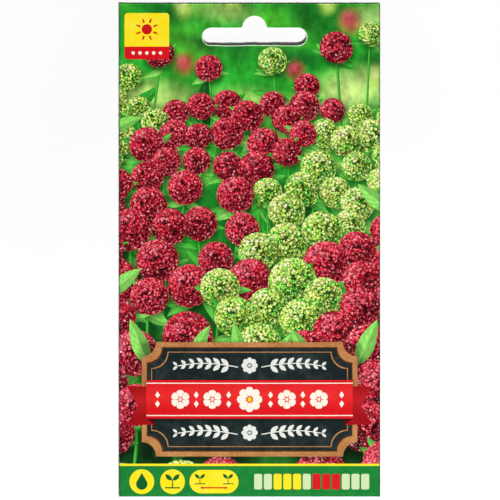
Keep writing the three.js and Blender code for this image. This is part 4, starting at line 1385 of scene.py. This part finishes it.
glassine = glassine_material()
for name, upper, node in (("sachet_back_web", False, "sachet_back"), ("sachet_front_web", True, "sachet_front")):
    o = web_mesh(name, upper, glassine)
    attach(o, "root")
    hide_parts(node)

srng = random.Random(11)
seeds = []
for layer, (gap, tries) in enumerate(((1.20, 12000), (1.28, 7000))):
    placed = []
    base = 0.33 + 0.5 * layer
    for _ in range(tries):
        x, y = 2 + srng.uniform(-19.5, 19.5), -34 + srng.uniform(-21.5, 21.5)
        if ((x - 2) / 19.5) ** 2 + ((y + 34) / 21.5) ** 2 > 0.97:
            continue
        if any((x - a) ** 2 + (y - b) ** 2 < gap * gap for a, b in placed):
            continue
        room = min(float(sachet_top(np.array([x + dx]), np.array([y + dy]))[0]) for dx in (-0.6, 0.6) for dy in (-0.6, 0.6)) - WEB - 0.06 - base
        if room < 0.52:
            continue
        placed.append((x, y))
        seeds.append((x, y, base + 0.27 + srng.uniform(0, min(0.06, max(0.0, room - 0.54))), srng.uniform(0.52, 0.60), srng.uniform(0.21, 0.25), srng.uniform(0, 6.28), srng.uniform(0, 0.06)))
sv, sf, sk = [], [], []
for x, y, z, r, h, az, tip in seeds:
    b = len(sv)
    tone_v = srng.random()
    rings = ((0.50, 0.86), (1.0, 0.0), (0.50, -0.86))
    sv.append((0, 0, h))
    for rr, hh in rings:
        sv += [(r * (1.0 if rr == 1.0 else 0.66) * math.cos(a) * 1.0, r * (1.0 if rr == 1.0 else 0.66) * 0.94 * math.sin(a), h * (hh * 0.86)) for a in [2 * math.pi * i / 10 for i in range(10)]]
    sv.append((0, 0, -h))
    c, s_, ct, st = math.cos(az), math.sin(az), math.cos(tip), math.sin(tip)
    for i in range(b, len(sv)):
        px, py, pz = sv[i]
        px, pz = px * ct + pz * st, -px * st + pz * ct
        sv[i] = ((x + px * c - py * s_) * MM, (y + px * s_ + py * c) * MM, (z + pz) * MM)
    for i in range(10):
        j = (i + 1) % 10
        sf.append((b, b + 1 + i, b + 1 + j))
        sf.append((b + 1 + i, b + 11 + i, b + 11 + j, b + 1 + j))
        sf.append((b + 11 + i, b + 21 + i, b + 21 + j, b + 11 + j))
        sf.append((b + 31, b + 21 + j, b + 21 + i))
    sk += [tone_v] * 40
me = bpy.data.meshes.new("loose_seed")
me.from_pydata(sv, [], sf)
me.polygons.foreach_set("use_smooth", [True] * len(sf))
a = me.attributes.new("loc", "FLOAT_VECTOR", "FACE")
a.data.foreach_set("vector", np.stack([sk, sk, sk], 1).astype(np.float32).ravel())
me.materials.append(seed_material())
seed_ob = bpy.data.objects.new("loose_seed", me)
bpy.context.scene.collection.objects.link(seed_ob)
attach(seed_ob, "root")
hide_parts("seed_heap")
print("seeds", len(seeds), "seed faces", len(sf))

# carried over as they are: side flap and the three glue films
glue = glue_material()
side_paper = paper_material("paper_flap")
for node in ("side_flap", "side_seam_glue", "top_flap_glue", "bottom_flap_glue"):
    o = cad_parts[node]
    o.data.materials.clear()
    o.data.materials.append(side_paper if node == "side_flap" else glue)

# ------------------------------------------------------------------ floor, light
floor_me = bpy.data.meshes.new("floor")
s = 4.0
floor_me.from_pydata([(-s, -s, 0), (s, -s, 0), (s, s, 0), (-s, s, 0)], [], [(0, 1, 2, 3)])
floor = bpy.data.objects.new("floor", floor_me)
bpy.context.scene.collection.objects.link(floor)
floor.location.z = -0.00002
fm = Mat("floor_white", 0.9, 0.0)
fm.color(fm.mix(fm.range(fm.noise(fm.position(), 0.002, 2.0), 0.3, 0.7), (0.945, 0.945, 0.945), (0.95, 0.95, 0.95)))
far_x, far_y, _ = fm.sep(fm.position())
far = fm.math("SQRT", fm.add(fm.mul(far_x, far_x), fm.mul(far_y, far_y)))
fm.put(fm.p, "Emission Strength", fm.add(fm.range(far, 62.0, 110.0, 0.0, 0.04), fm.add(fm.range(far, 180.0, 1100.0, 0.0, 0.46, "LINEAR"), fm.range(far, 900.0, 3600.0, 0.0, 0.42, "LINEAR"))))
fm.put(fm.p, "Emission Color", (1.0, 1.0, 1.0))
floor_me.materials.append(fm.m)


def area(name, loc, sx, sy, share):
    """rectangular light aimed at the origin; share is the part of a white sheet's brightness it gives"""
    loc = Vector(loc)
    d = bpy.data.lights.new(name, "AREA")
    d.shape = "RECTANGLE"
    d.size, d.size_y = sx, sy
    d.energy = share * math.pi ** 2 * loc.length_squared / (loc.z / loc.length)
    o = bpy.data.objects.new(name, d)
    bpy.context.scene.collection.objects.link(o)
    o.location = loc
    o.rotation_mode = "QUATERNION"
    o.rotation_quaternion = (-loc).to_track_quat("-Z", "Y")
    return o


area("key", (0.62, -1.94, 2.05), 1.9, 0.18, 1.07)
area("fill_left", (-2.2, 0.3, 1.5), 1.4, 1.4, 0.014)
area("fill_top", (0.6, 2.2, 1.6), 1.2, 0.5, 0.012)
world = bpy.data.worlds.new("world")
bpy.context.scene.world = world
world.use_nodes = True
wt = world.node_tree
bg = wt.nodes["Background"]
coord = wt.nodes.new("ShaderNodeTexCoord")
sepz = wt.nodes.new("ShaderNodeSeparateXYZ")
wt.links.new(coord.outputs["Generated"], sepz.inputs[0])
wr = wt.nodes.new("ShaderNodeMapRange")
wt.links.new(sepz.outputs[2], wr.inputs[0])
wr.interpolation_type = "SMOOTHSTEP"
for i, x in enumerate((0.03, 0.16, 0.94, 0.03)):
    wr.inputs[i + 1].default_value = x
wt.links.new(wr.outputs[0], bg.inputs[1])
bg.inputs[0].default_value = (1, 1, 1, 1)
bpy.context.scene.view_settings.view_transform = "Standard"
bpy.context.scene.view_settings.look = "None"
